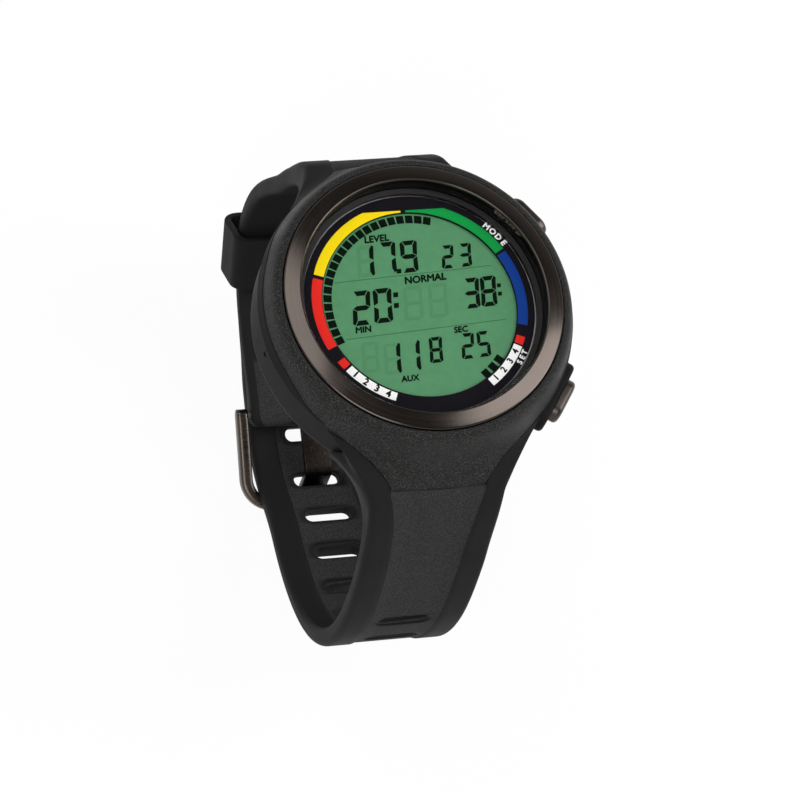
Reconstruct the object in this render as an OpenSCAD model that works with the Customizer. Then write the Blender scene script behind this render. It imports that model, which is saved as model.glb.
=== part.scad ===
// Wrist dive computer on a buckled rubber strap, in millimetres.
// +Z is the face normal, +Y is 12 o'clock, +X is 3 o'clock.
// The origin is the centre of the case back's outer face.
// Radii and heights are built outwards from the coin cell, each a step from the one before.

/* [Battery and case back] */
// Radius of the coin cell
cell_r = 12.25; // [11.5:0.05:12.8]
// Thickness of the coin cell
cell_t = 3; // [2.5:0.1:3.5]
// Margin of the hatch's plug around the cell
plug_margin = 0.95; // [0.85:0.05:1.2]
// Width of the hatch's rim around its plug
hatch_rim = 0.9; // [0.7:0.05:1.1]
// Thickness of the hatch's outer disc
hatch_t = 1.6; // [1.4:0.1:1.7]
// Running clearance of the hatch
hatch_gap = 0.15; // [0.1:0.01:0.2]
// Width of the collar that the hatch locks on
collar_w = 2.8; // [2.4:0.1:3.2]
// Height of that collar above the case back's inner face
collar_h = 1.2; // [1:0.1:1.4]
// Width of the case back's flange under the case
flange_w = 3.8; // [3.7:0.1:4.4]
// Thickness of the case back
back_t = 2.2; // [2.1:0.05:2.4]
// Distance of the case back screws from its rim
screw_inset = 1.4; // [1.35:0.05:1.5]
// Radius of the case back screw's head
screw_head_r = 1.25; // [1:0.05:1.3]
// Radius of the case back screw's shank
screw_r = 0.8; // [0.6:0.05:0.9]

/* [Case] */
// Width of the foot between the case back's rim and the inside of the wall
case_foot_w = 3; // [2.8:0.1:3.6]
// Wall thickness of the lower case
case_wall = 2.2; // [1.9:0.1:2.4]
// Height of the lower case's foot above the case back's outer face
case_foot_z = 0.6; // [0.3:0.1:0.9]
// Rounding of the lower case's bottom edge
case_round = 2.2; // [1.4:0.1:2.6]
// Thickness of the inner ledge that the case back screws to
ledge_t = 1.6; // [1.3:0.1:2]
// Clearance between fitted pieces of the case
case_gap = 0.1; // [0.05:0.01:0.2]

/* [Cover and bezel] */
// How far the cover stands out past the lower case
cover_overhang = 0.3; // [0.2:0.05:0.6]
// Depth of the cover's upper rim below the bezel's outer edge
cover_drop = 0.2; // [0:0.05:0.4]
// Distance of the bezel from the outside of the case
bezel_inset = 2.7; // [2.4:0.1:3]
// Width of the bezel's sloping face
bezel_w = 2.7; // [2.4:0.1:3]
// Rise of the bezel from its outer edge to its inner lip
bezel_rise = 0.7; // [0.4:0.1:1]
// Height of the bezel's inner lip above the crystal
bezel_lip_h = 1; // [0.6:0.1:1.4]
// Width of the ledge that carries the bezel
bezel_seat_w = 1.5; // [1.3:0.1:1.7]
// Thickness of the shelf under the crystal
bezel_shelf_t = 0.6; // [0.4:0.05:0.65]
// Thickness of the crystal
crystal_t = 2.2; // [1.8:0.1:2.6]
// Thickness of the gasket under the crystal
crystal_gasket_t = 0.4; // [0.3:0.05:0.6]
// Width of the shelf and the gasket under the crystal
crystal_seat_w = 1; // [0.8:0.1:1.2]

/* [Tongues] */
// Reach of the cover's tongue at 12 and 6 o'clock, past the cover
tongue_reach = 2.8; // [2.5:0.1:3.4]
// Drop of the tongue's end below the cover
tongue_drop = 5.55; // [5:0.05:5.8]
// Half width of the tongue's end
tongue_half_w = 8.04; // [7:0.1:9]
// Half width of the tongue where it leaves the cover
tongue_root_half_w = 17.5; // [15:0.5:18]
// Thickness of the tongue
tongue_t = 1.2; // [1:0.05:1.3]

/* [Display] */
// Clearance of the dial mask in the bezel
dial_gap = 0.2; // [0.1:0.05:0.4]
// Thickness of the dial mask
dial_t = 0.4; // [0.3:0.05:0.5]
// Depth of the dial's face below the bezel's shelf
dial_depth = 0.3; // [0.25:0.05:0.35]
// Width of the dial's printed border around the window
window_border = 3; // [2.6:0.1:3.8]
// Lap of the display glass under the dial mask
lcd_lap = 1; // [0.6:0.1:1.3]
// Thickness of the display glass
lcd_t = 1.4; // [1.2:0.1:1.6]
// Thickness of the light guide under the display
guide_t = 1.2; // [1:0.1:1.5]
// Step from the display glass in to the light guide
guide_inset = 2.8; // [2.6:0.1:3.6]
// Thickness of the circuit board
board_t = 1; // [0.8:0.1:1.2]
// Clearance of the circuit board in the cover
board_gap = 0.5; // [0.3:0.1:0.8]

/* [Buttons] */
// Angle of each button from 3 o'clock
button_angle = 36; // [34:0.5:37]
// Depth of the button axis below the cover
button_drop = 3.1; // [2.9:0.1:3.3]
// Length of the button cap around the case
cap_l = 8; // [7:0.1:9]
// Height of the button cap
cap_h = 4.2; // [3.8:0.1:4.4]
// Thickness of the button cap
cap_t = 2.25; // [1.9:0.05:2.6]
// Clearance around the cap in its pocket
cap_gap = 0.15; // [0.1:0.01:0.25]
// Width of the boss past each end of the pocket
boss_end_w = 2.05; // [1.6:0.05:2.15]
// Width of the boss above and below the pocket
boss_wall = 0.15; // [0.05:0.05:0.25]
// How far the boss stands out of the case
boss_proud = 1.2; // [0.8:0.1:1.6]
// Depth of the pocket behind the boss's face
pocket_depth = 2; // [1.9:0.05:2.1]
// Length that a button travels
button_travel = 1; // [0.6:0.1:1.2]
// Height of the pressed spring under a cap
spring_t = 0.45; // [0.3:0.05:0.6]
// Radius of the button stem
stem_r = 1; // [0.8:0.05:1.1]
// Radial clearance of the stem in its bushing
stem_gap = 0.04; // [0.02:0.01:0.06]
// Wall of the bushing around the stem
bushing_wall = 0.86; // [0.8:0.02:0.96]
// Reach of the bushing into the case
bushing_reach = 2.4; // [2.3:0.05:2.6]
// Reach of the stem past its bushing
stem_reach = 1.2; // [1.1:0.05:1.4]

/* [Sensor] */
// Angle of the pressure port from 3 o'clock
port_angle = 190; // [188:1:196]
// Depth of the pressure port below the cover
port_drop = 3; // [2.9:0.1:3.4]
// Radius of the pressure port
port_r = 0.5; // [0.3:0.05:0.7]
// Radius of the pressure sensor
sensor_r = 1.6; // [1.3:0.1:1.7]

/* [Strap] */
// Height of the centre of the strap's loop
loop_z = -24.1; // [-25:0.1:-23]
// Offset of the loop's centre towards 12 o'clock
loop_y = 1.3; // [0.5:0.1:2]
// Distance of the strap's inner face from that centre, under the wrist
loop_r = 38.4; // [38:0.1:39]
// How far the strap draws in halfway down the 6 o'clock side
front_dip = 1.5; // [0.4:0.1:1.9]
// How far the strap swells at the lower corner of the 6 o'clock side
front_bulge = 3.4; // [1.6:0.1:4.1]
// How far the strap draws in halfway down the 12 o'clock side
rear_dip = 4; // [2.4:0.1:4.4]
// How far the strap swells at the lower corner of the 12 o'clock side
rear_bulge = 5.6; // [3.6:0.1:6.1]
// Width of the strap's tail half
tail_w = 21.6; // [20.5:0.1:22]
// Width of the strap's buckle half
strap_w = 24; // [23.2:0.1:25]
// Width of the buckle half at the buckle
buckle_w = 22.6; // [22.2:0.1:23]
// Width of both halves at the case
strap_root_w = 25.6; // [25:0.1:26]
// Thickness of the strap
strap_t = 3.4; // [3:0.1:3.6]
// Thickness of the strap at the case
strap_root_t = 5.2; // [4.6:0.1:5.4]
// Half width of the sunk panel down the strap
panel_half_w = 6; // [5:0.1:6.5]
// Depth of the sunk panel
panel_depth = 0.5; // [0.3:0.05:0.8]
// Bevel along the strap's edges
strap_bevel = 0.9; // [0.5:0.1:1.2]
// Gap between the two layers of the strap
layer_gap = 0.35; // [0.3:0.05:0.5]
// Length of the tail past the buckle pin
tail_l = 29.5; // [27.5:0.1:30]
// Distance of the strap pins from the outside of the case
lug_reach = 1; // [0.8:0.05:1.2]
// Height of the strap pins
lug_pin_z = 1.8; // [1.75:0.05:1.9]
// Radius of the strap pins
lug_pin_r = 0.8; // [0.6:0.05:0.9]
// Radius of the case's lug knuckle
lug_r = 1.7; // [1.5:0.05:1.75]
// Gap between the strap and the case
strap_gap = 0.3; // [0.25:0.05:0.4]
// Length of a slot across the strap
slot_l = 8.4; // [7.5:0.1:9]
// Width of a slot along the strap
slot_w = 2.5; // [2.4:0.05:2.8]
// Distance between slots along the strap
slot_pitch = 7.98; // [7.7:0.01:8.4]
// Number of slots from the prong's towards the case
slots_below = 7; // [3:1:7]
// Number of slots from the prong's towards the tip
slots_above = 3; // [1:1:3]

/* [Buckle and keeper] */
// Angle around the loop of the buckle pin
pin_angle = 286; // [285.6:0.1:286.4]
// Distance of the buckle pin from the loop's inner face
pin_lift = 2.3; // [2.25:0.05:2.5]
// Radius of the buckle pin
pin_r = 0.9; // [0.7:0.05:1]
// Running clearance of the buckle pin
pin_gap = 0.05; // [0.03:0.01:0.08]
// Radius of the strap's knuckle around the buckle pin
knuckle_r = 2.2; // [2:0.05:2.25]
// Width of the buckle's wire, seen from outside
arm_t = 1.8; // [1.4:0.1:2]
// Depth of the buckle's wire
arm_h = 2.4; // [2.2:0.1:2.6]
// Gap between the strap's edge and a buckle arm
arm_gap = 0.35; // [0.3:0.05:0.5]
// Reach of the buckle from its pin to the middle of its cross bar
bar_reach = 17.2; // [17:0.1:17.6]
// Tilt of the buckle, away from the wrist at its cross bar
buckle_tilt = 6.2; // [6:0.1:7]
// Inner corner radius of the buckle
buckle_corner_r = 3.4; // [2:0.1:4]
// Distance from the buckle pin to the slot that the prong goes through
prong_cross = 12.57; // [12.3:0.01:12.8]
// Width of the prong
prong_w = 5; // [4:0.1:6]
// Thickness of the prong
prong_t = 1.1; // [0.9:0.05:1.2]
// Radius of the prong's eye
eye_r = 1.8; // [1.6:0.05:2]
// Length of the keeper along the strap
keeper_l = 11; // [8:0.5:12]
// Wall thickness of the keeper
keeper_t = 1.3; // [1.1:0.1:1.6]
// Clearance of the keeper around the strap
keeper_gap = 0.25; // [0.2:0.05:0.4]
// Distance along the strap from the buckle pin to the keeper's middle
keeper_at = 25.5; // [24.2:0.1:26.2]

/* [Hidden] */
$fn = 96;
eps = 0.01;

black = "#2b2b2b";
gunmetal = "#5b5350";
steel = "#b8bcc0";
plastic = "#d8d8d0";

// Radii, from the coin cell outwards.
plug_r = cell_r + plug_margin;
hatch_r = plug_r + hatch_rim;
collar_r = hatch_r + collar_w;
ledge_bore_r = collar_r + 3 * case_gap;
back_r = ledge_bore_r + flange_w;
screw_circle_r = back_r - screw_inset;
case_inner_r = back_r + case_foot_w;
case_r = case_inner_r + case_wall;
cover_r = case_r + cover_overhang;
bezel_r = case_r - bezel_inset;
cover_recess_r = bezel_r + case_gap;
cover_shoulder_r = cover_recess_r + 0.8;
cover_bore_r = bezel_r - bezel_seat_w;
spigot_r = case_inner_r - case_gap;
bezel_lip_r = bezel_r - bezel_w;
bezel_neck_r = cover_bore_r - case_gap;
bezel_wall_r = bezel_lip_r - 0.2;
bezel_bore_r = bezel_wall_r - crystal_seat_w;
crystal_r = bezel_wall_r - case_gap;
dial_r = bezel_bore_r - dial_gap;
window_r = dial_r - window_border;
lcd_r = window_r + lcd_lap;
holder_bore_r = lcd_r + case_gap;
guide_r = lcd_r - guide_inset;
board_r = cover_bore_r - board_gap;
tongue_r = cover_r + tongue_reach;
lug_pin_y = case_r + lug_reach;

// Heights, from the case back's outer face upwards.
ledge_z = back_t;
floor_z = ledge_z + ledge_t;
collar_z = back_t + collar_h;
plug_top_z = collar_z + 0.6;
cell_z = plug_top_z + 0.2;
contact_h = 1.7;
board_under_z = cell_z + cell_t + contact_h;
board_z = board_under_z + board_t;
case_split_z = board_z + case_gap;
lcd_z = board_z + guide_t;
lcd_top_z = lcd_z + lcd_t;
holder_top_z = lcd_top_z + case_gap;
dial_z = holder_top_z + dial_t;
bezel_seat_z = dial_z + dial_depth;
crystal_z = bezel_seat_z + crystal_gasket_t;
bezel_lip_z = crystal_z + crystal_t + bezel_lip_h;
bezel_edge_z = bezel_lip_z - bezel_rise;
cover_top_z = bezel_edge_z - cover_drop;
spigot_h = 0.5;
tongue_end_z = case_split_z - tongue_drop;
button_z = case_split_z - button_drop;
port_z = case_split_z - port_drop;

// Buttons, from the case wall outwards and inwards.
buttons = [button_angle, -button_angle];
cap_slot_h = cap_h + 2 * cap_gap;
cap_slot_l = cap_l + 2 * cap_gap;
boss_h = cap_slot_h + 2 * boss_wall;
boss_l = cap_slot_l + 2 * boss_end_w;
boss_face_r = case_r + boss_proud;
pocket_floor_r = boss_face_r - pocket_depth;
press_gap = 0.1;
cap_back_r = pocket_floor_r + spring_t + button_travel + press_gap;
cap_face_r = cap_back_r + cap_t;
bushing_r = stem_r + stem_gap + bushing_wall;
bushing_end_r = case_inner_r - bushing_reach;
stem_end_r = bushing_end_r - stem_reach;
clip_t = 0.4;
clip_r = stem_r + 0.9;
flange_h = 0.7;
flange_r = bushing_r + 0.5;
oring_groove_w = 0.8;
oring_groove_r = stem_r + 0.6;
oring_d = oring_groove_r - stem_r - stem_gap;
oring_at_r = bushing_end_r + bushing_reach / 2;
switch_l = 2.2;
switch_w = 4;

// Inner pieces.
post_angles = [0, 90, 180, 270];
screw_angles = [45, 135, 225, 315];
post_r = 1.2;
post_circle_r = board_r - 0.9;
tab_r = plug_r + 1;
tray_r = cell_r + 0.2;
tray_wall = 1.1;
tray_out_r = tray_r + tray_wall;
processor = [4.6, 6.6, 1];
processor_at = tray_out_r + 0.65;
radio = [5, 4, 0.9];
radio_at = tray_out_r + 1.25;
buzzer_r = 4.2;
buzzer_h = 2.5;
buzzer_at = tray_out_r + 0.85 + buzzer_r;
antenna_core = [2, 14, 3];
antenna_wire_t = 0.4;
antenna_coil_l = 9;
antenna_at = tray_out_r + 3.45;
sensor_l = 3.2;
filter_l = 1.4;
contact_leaf = [10, 3, 0.25];
contact_post_w = 2;
contact_side = [4, 0.6, 0.3];
hatch_oring_d = 0.7;
hatch_groove_z = hatch_t + 0.8;
key_reach = plug_r - 3.2;
key_l = 5;
back_groove_r = ledge_bore_r + 0.3;
back_groove_w = 0.9;
back_groove_h = 0.7;

// Shape of a strap half, worked out around the loop's centre.
pin_bore_r = pin_r + pin_gap;
pin_loop_r = loop_r + pin_lift;
buckle_lift = pin_lift + knuckle_r + 0.4;
layer_lift = strap_t + layer_gap;
front_dip_r = loop_r - front_dip;
front_bulge_r = loop_r + front_bulge;
rear_dip_r = loop_r - rear_dip;
rear_bulge_r = loop_r + rear_bulge;
ramp_far = 22.8;
ramp_near = 4.7;
settle_near = 4;
settle_far = 10.7;
tip_l = 7.4;
root_l = 14;
root_lap = 2.7;
ramp_start = pin_angle - arc(ramp_far);
ramp_end = pin_angle - arc(ramp_near);
settle_start = pin_angle + arc(settle_near);
settle_end = pin_angle + arc(settle_far);
tail_end_angle = pin_angle + arc(tail_l);
keeper_angle = pin_angle + arc(keeper_at);
slot_angle = pin_angle - asin(prong_cross / (loop_r + layer_lift + strap_t / 2 - layer_gap));
slot_step = arc(slot_pitch);
tip_angle = arc(tip_l);
root_ease = arc(root_l);
root_overlap = arc(root_lap);
root_room = 8;
connector_l = 12;
connector_w = 1.4;
keeper_round = 1.5;
panel_slope = 0.3;
keeper_give = 1.4;
front_dip_angle = 165;
front_bulge_angle = 219;
front_floor_angle = 270;
rear_dip_angle = 14;
rear_bulge_angle = -32;
frame_half_w = max(buckle_w, tail_w) / 2 + arm_gap;
keeper_in_r = rear_bulge_r - keeper_give - keeper_gap;
keeper_out_r = rear_bulge_r + layer_lift + strap_t + keeper_gap;
keeper_half_w = max(strap_w, tail_w) / 2 + keeper_gap;
keeper_sweep = keeper_l / keeper_out_r * 180 / PI;

// Horns of the strap that hug the round case.
horn_top_z = case_split_z - 1.4;
horn_foot_z = 0.9;
horn_half_w = strap_root_w / 2 + 2.4;
flank_r = 12;

// Angle around the loop of a length along its inner face.
function arc(length) = length / loop_r * 180 / PI;
function ease(u) = let (v = min(1, max(0, u))) v * v * (3 - 2 * v);
function lug_angle(side) = atan2(lug_pin_z - loop_z, side * lug_pin_y - loop_y);
function lug_dist(side) = norm([side * lug_pin_y - loop_y, lug_pin_z - loop_z]);
function root_share(side, a) = 1 - ease(abs(a - lug_angle(side)) / root_ease);

// A value that eases from one [angle, value] station to the next.
function eased(stations, a) =
    let (
        steps = [
            for (i = [1 : len(stations) - 1])
                (stations[i][1] - stations[i - 1][1])
                * ease((a - stations[i - 1][0]) / (stations[i][0] - stations[i - 1][0]))
        ]
    ) stations[0][1] + steps * [for (s = steps) 1];

function lug_station(side) = [lug_angle(side), lug_dist(side) - strap_t / 2];
function rear_r(a) = eased([
    [pin_angle - 360, loop_r], [rear_bulge_angle, rear_bulge_r],
    [rear_dip_angle, rear_dip_r], lug_station(1)
], a);
function front_r(a) = eased([
    lug_station(-1), [front_dip_angle, front_dip_r],
    [front_bulge_angle, front_bulge_r], [front_floor_angle, loop_r]
], a);
function tail_lift(a) =
    buckle_lift * ease((a - ramp_start) / (ramp_end - ramp_start))
    - (buckle_lift - layer_lift) * ease((a - settle_start) / (settle_end - settle_start));
function inner_r(side, a) =
    side > 0 ? rear_r(a) : tail_lift(a) + (a < pin_angle ? front_r(a) : rear_r(a - 360));
function outer_r(side, a) =
    inner_r(side, a) + strap_t + (strap_root_t - strap_t) * root_share(side, a);
function free_half_w(side, a) =
    side < 0 ? tail_w / 2 : eased([[pin_angle - 360, buckle_w / 2], [rear_bulge_angle, strap_w / 2]], a);
function half_w(side, a) =
    free_half_w(side, a) + (strap_root_w / 2 - free_half_w(side, a)) * root_share(side, a);
function tip_share(a, last) =
    let (u = max(0, (a - last + tip_angle) / tip_angle)) sqrt(max(0.02, 1 - 0.75 * u * u));

// One ring of the strap's section: bevelled edges and a sunk panel on both faces.
function strap_ring(side, a, share) =
    let (
        w = half_w(side, a) * share,
        hi = outer_r(side, a),
        lo = inner_r(side, a),
        c = strap_bevel,
        p = min(panel_half_w + (tongue_half_w - panel_half_w) * root_share(side, a), w - 2 * c),
        d = panel_depth,
        s = panel_slope
    ) [
        for (q = [
            [-w, lo + c], [-w, hi - c], [-w + c, hi], [-p - s, hi],
            [-p, hi - d], [p, hi - d], [p + s, hi], [w - c, hi],
            [w, hi - c], [w, lo + c], [w - c, lo], [p + s, lo],
            [p, lo + d], [-p, lo + d], [-p - s, lo], [-w + c, lo]
        ]) [q[0], loop_y + q[1] * cos(a), loop_z + q[1] * sin(a)]
    ];

module sweep(rings, flip) {
    n = len(rings[0]);
    m = len(rings);
    sides = [
        for (i = [0 : m - 2], j = [0 : n - 1])
            let (a = i * n + j, b = i * n + (j + 1) % n)
            each [[a, b, b + n], [a, b + n, a + n]]
    ];
    far = (m - 1) * n;
    caps = [
        for (k = [1 : n / 2 - 1])
            let (a = k, b = k + 1, c = (n - k) % n, d = (n + 1 - k) % n)
            each [
                [d, b, a], [d, c, b],
                [far + a, far + b, far + d], [far + b, far + c, far + d]
            ]
    ];
    faces = concat(sides, caps);
    polyhedron(
        [for (r = rings) each r],
        flip ? [for (f = faces) [for (k = [len(f) - 1 : -1 : 0]) f[k]]] : faces
    );
}

// Children are drawn round the loop's centre: x and y in the loop's plane, z along +X.
module in_loop() {
    translate([0, loop_y, loop_z]) rotate([90, 0, 90]) children();
}

// Children are drawn at the buckle pin: x outwards, -y towards the cross bar, z along +X.
module in_buckle() {
    in_loop() rotate([0, 0, pin_angle]) translate([pin_loop_r, 0, 0]) children();
}

// Children are drawn along a button's axis: z outwards, y around the case.
module at_button(angle) {
    rotate([0, 0, angle]) translate([0, 0, button_z]) rotate([0, 90, 0]) children();
}

module stadium(length, width) {
    square([width, length - width], center = true);
    for (s = [-1, 1]) translate([0, s * (length - width) / 2]) circle(d = width, $fn = 48);
}

module ring(outer, inner, low, high) {
    translate([0, 0, low]) difference() {
        cylinder(r = outer, h = high - low);
        translate([0, 0, -eps]) cylinder(r = inner, h = high - low + 2 * eps);
    }
}

module rod(radius, half_length, y, z) {
    translate([-half_length, y, z]) rotate([0, 90, 0]) cylinder(r = radius, h = 2 * half_length, $fn = 48);
}

// Outline of the tongue seen along Y, with sides that curve out to the cover.
function tongue_side(u) =
    (1 - u) * (1 - u) * [tongue_half_w, tongue_end_z]
    + 2 * u * (1 - u) * [tongue_half_w + 1.5, case_split_z - 1.8]
    + u * u * [tongue_root_half_w, case_split_z];

module tongue_outline(grow) {
    steps = 8;
    right = [for (i = [0 : steps]) tongue_side(i / steps) + [grow, -grow]];
    top = case_split_z + 0.4;
    polygon(concat(
        [[-right[0][0], tongue_end_z - 2]], [[right[0][0], tongue_end_z - 2]],
        right,
        [[tongue_root_half_w + grow, top], [-tongue_root_half_w - grow, top]],
        [for (i = [steps : -1 : 0]) [-right[i][0], right[i][1]]]
    ));
}

// Both tongues, or a cutter that is larger all round by grow.
module tongues(grow) {
    run = [tongue_r - cover_r, tongue_end_z - case_split_z];
    along = run / norm(run);
    out = [-along[1], along[0]];
    thick = tongue_t + 2 * grow;
    low = [tongue_r, tongue_end_z] + grow * (along + out);
    high = [cover_r, case_split_z] + grow * out;
    back = case_r + 0.05 - grow;
    low_in = low - thick * out;
    in_z = low_in[1] - (low_in[0] - back) * along[1] / along[0];
    intersection() {
        rotate_extrude() polygon([
            [back, case_split_z + 0.3], [high[0] - 0.05, case_split_z + 0.3], high, low, low_in, [back, in_z]
        ]);
        translate([0, 2 * tongue_r, 0]) rotate([90, 0, 0]) linear_extrude(4 * tongue_r) tongue_outline(grow);
    }
}

module upper_case() {
    color(black) {
        rotate_extrude() polygon([
            [cover_bore_r, case_split_z - spigot_h],
            [spigot_r, case_split_z - spigot_h],
            [spigot_r, case_split_z],
            [cover_r, case_split_z],
            [cover_r - 0.35, case_split_z + 2],
            [cover_shoulder_r + 1.1, cover_top_z - 1.8],
            [cover_shoulder_r + 0.55, cover_top_z - 0.5],
            [cover_shoulder_r, cover_top_z],
            [cover_recess_r + 0.15, cover_top_z],
            [cover_recess_r, cover_top_z - 0.15],
            [cover_recess_r, bezel_seat_z],
            [cover_bore_r, bezel_seat_z]
        ]);
        tongues(0);
    }
}

module case_lug(side) {
    depth = lug_pin_y - case_inner_r - 0.3;
    translate([-tongue_half_w, side * (lug_pin_y - depth / 2) - depth / 2, lug_pin_z - lug_r])
        cube([2 * tongue_half_w, depth, 2 * lug_r]);
    rod(lug_r, tongue_half_w, side * lug_pin_y, lug_pin_z);
}

module lower_case() {
    round_pts = [
        for (i = [0 : 5])
            [
                case_r - case_round * (1 - sin(i * 18)),
                case_foot_z + case_round * (1 - cos(i * 18))
            ]
    ];
    color(black) difference() {
        union() {
            rotate_extrude() polygon(concat(
                [[back_r + case_gap, case_foot_z]],
                round_pts,
                [
                    [case_r, case_split_z], [case_inner_r, case_split_z],
                    [case_inner_r, floor_z], [ledge_bore_r, floor_z],
                    [ledge_bore_r, ledge_z], [back_r + case_gap, ledge_z]
                ]
            ));
            for (side = [-1, 1]) case_lug(side);
            for (a = buttons) at_button(a)
                translate([0, 0, case_inner_r + 0.6])
                linear_extrude(boss_face_r - case_inner_r - 0.6) stadium(boss_l, boss_h);
            for (a = post_angles) rotate([0, 0, a]) translate([post_circle_r, 0, floor_z - eps])
                cylinder(r = post_r, h = board_under_z - floor_z + eps, $fn = 32);
        }
        for (a = buttons) at_button(a) {
            translate([0, 0, pocket_floor_r]) linear_extrude(cap_face_r) stadium(cap_slot_l, cap_slot_h);
            translate([0, 0, case_inner_r - 1]) cylinder(r = bushing_r + 0.02, h = case_wall + 1, $fn = 48);
        }
        rotate([0, 0, port_angle]) translate([case_inner_r - 1, 0, port_z]) rotate([0, 90, 0]) {
            cylinder(r = port_r, h = case_wall + 2, $fn = 32);
            cylinder(r = port_r * 2, h = case_wall + 0.4, $fn = 32);
        }
        for (side = [-1, 1]) rod(lug_pin_r + 0.02, tongue_half_w + 1, side * lug_pin_y, lug_pin_z);
        for (a = screw_angles) rotate([0, 0, a]) translate([screw_circle_r, 0, ledge_z - eps])
            cylinder(r = screw_r + 0.02, h = ledge_t - 0.2, $fn = 32);
    }
}

module bezel() {
    color(gunmetal) rotate_extrude() polygon([
        [bezel_bore_r, bezel_seat_z - bezel_shelf_t],
        [bezel_neck_r, bezel_seat_z - bezel_shelf_t],
        [bezel_neck_r, bezel_seat_z],
        [bezel_r, bezel_seat_z],
        [bezel_r, bezel_edge_z - 0.15],
        [bezel_r - 0.15, bezel_edge_z],
        [bezel_lip_r + 0.15, bezel_lip_z],
        [bezel_lip_r, bezel_lip_z - 0.05],
        [bezel_wall_r, bezel_lip_z - 0.3],
        [bezel_wall_r, bezel_seat_z],
        [bezel_bore_r, bezel_seat_z]
    ]);
}

module crystal() {
    top = crystal_z + crystal_t;
    color("#cfe3ea", 0.4) rotate_extrude() polygon([
        [0, crystal_z], [crystal_r, crystal_z], [crystal_r, top - 0.2], [crystal_r - 0.2, top], [0, top]
    ]);
}

module crystal_gasket() {
    color("#161616") ring(crystal_r, bezel_bore_r, bezel_seat_z, crystal_z);
}

module dial_mask() {
    color("#16131a") ring(dial_r, window_r, holder_top_z, dial_z);
}

module lcd_panel() {
    color("#5fa573") translate([0, 0, lcd_z]) cylinder(r = lcd_r, h = lcd_t);
}

module lcd_holder() {
    color(plastic) difference() {
        ring(board_r, holder_bore_r, board_z, holder_top_z);
        translate([0, 0, lcd_z - 0.5]) cylinder(r = holder_bore_r, h = lcd_t);
    }
}

module light_guide() {
    color("#e8f2ea") translate([0, 0, board_z]) cylinder(r = guide_r, h = guide_t);
}

module elastomer_connectors() {
    bar = [connector_l, connector_w, guide_t];
    color("#b0463c") for (side = [-1, 1])
        translate([-bar[0] / 2, side * (guide_r + 1) - bar[1] / 2, board_z]) cube(bar);
}

module circuit_board() {
    color("#1f5b3a") translate([0, 0, board_under_z]) cylinder(r = board_r, h = board_t);
}

module circuit_chips() {
    color("#1a1a1c") {
        translate([processor_at, -processor[1] / 2, board_under_z - processor[2]]) cube(processor);
        translate([-radio[0] / 2, -radio_at - radio[1], board_under_z - radio[2]]) cube(radio);
    }
}

module button_switches() {
    reach = stem_end_r - button_travel - 0.15;
    color("#3a3a3c") for (a = buttons) rotate([0, 0, a])
        translate([reach - switch_l, -switch_w / 2, button_z - 1.2])
        cube([switch_l, switch_w, board_under_z - button_z + 1.2]);
}

module pressure_sensor() {
    color(steel) rotate([0, 0, port_angle]) translate([case_inner_r - sensor_l, 0, port_z]) rotate([0, 90, 0])
        cylinder(r = sensor_r, h = sensor_l - 0.12, $fn = 48);
}

module sensor_filter() {
    color("#8a8580") rotate([0, 0, port_angle]) translate([case_inner_r - 0.1, 0, port_z]) rotate([0, 90, 0])
        cylinder(r = port_r * 2 - 0.03, h = filter_l, $fn = 32);
}

module buzzer() {
    color("#c8a24a") rotate([0, 0, 125]) translate([buzzer_at, 0, board_under_z - buzzer_h])
        cylinder(r = buzzer_r, h = buzzer_h, $fn = 64);
}

module antenna() {
    core = antenna_core;
    wire = antenna_wire_t;
    color("#7a3e22") rotate([0, 0, 235]) translate([antenna_at, 0, board_under_z - core[2]]) {
        translate([0, -core[1] / 2, 0]) cube(core);
        translate([-wire, -antenna_coil_l / 2, -wire])
            cube([core[0] + 2 * wire, antenna_coil_l, core[2] + wire]);
    }
}

module coin_cell() {
    color(steel) translate([0, 0, cell_z]) {
        cylinder(r = cell_r, h = cell_t - 0.3);
        cylinder(r = cell_r - 1, h = cell_t);
    }
}

module battery_tray() {
    color(plastic) ring(tray_out_r, tray_r, cell_z + 0.3, board_under_z);
}

module battery_contacts() {
    leaf = contact_leaf;
    side = contact_side;
    top = cell_z + cell_t;
    color("#d9c27a") {
        translate([-leaf[0] / 2, -leaf[1] / 2, top]) cube(leaf);
        translate([-contact_post_w / 2, -leaf[1] / 2, top]) cube([contact_post_w, leaf[1], contact_h]);
        translate([-side[0] / 2, cell_r - side[1], top - side[2]])
            cube([side[0], side[1], contact_h + side[2]]);
    }
}

module battery_hatch() {
    color("#3a3a3a") difference() {
        union() {
            cylinder(r = hatch_r, h = hatch_t);
            cylinder(r = plug_r, h = plug_top_z);
            for (a = [0, 120, 240]) rotate([0, 0, a])
                intersection() {
                    ring(tab_r, plug_r - 1, collar_z + 0.05, plug_top_z);
                    translate([0, -3.5, 0]) cube([tab_r + 1, 7, plug_top_z]);
                }
        }
        translate([0, 0, plug_top_z - 1]) cylinder(r = plug_r - 1.5, h = 2);
        for (x = [-key_reach, key_reach - key_l]) translate([x, -0.8, -eps]) cube([key_l, 1.6, 0.8]);
        ring(
            plug_r + 1, plug_r - hatch_oring_d + hatch_gap,
            hatch_groove_z, hatch_groove_z + hatch_oring_d + 0.1
        );
    }
}

module hatch_oring() {
    major = plug_r + hatch_gap - hatch_oring_d / 2 - 0.03;
    color("#161616") translate([0, 0, hatch_groove_z + hatch_oring_d / 2 + 0.05])
        rotate_extrude() translate([major, 0]) circle(d = hatch_oring_d - 0.08, $fn = 24);
}

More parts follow.
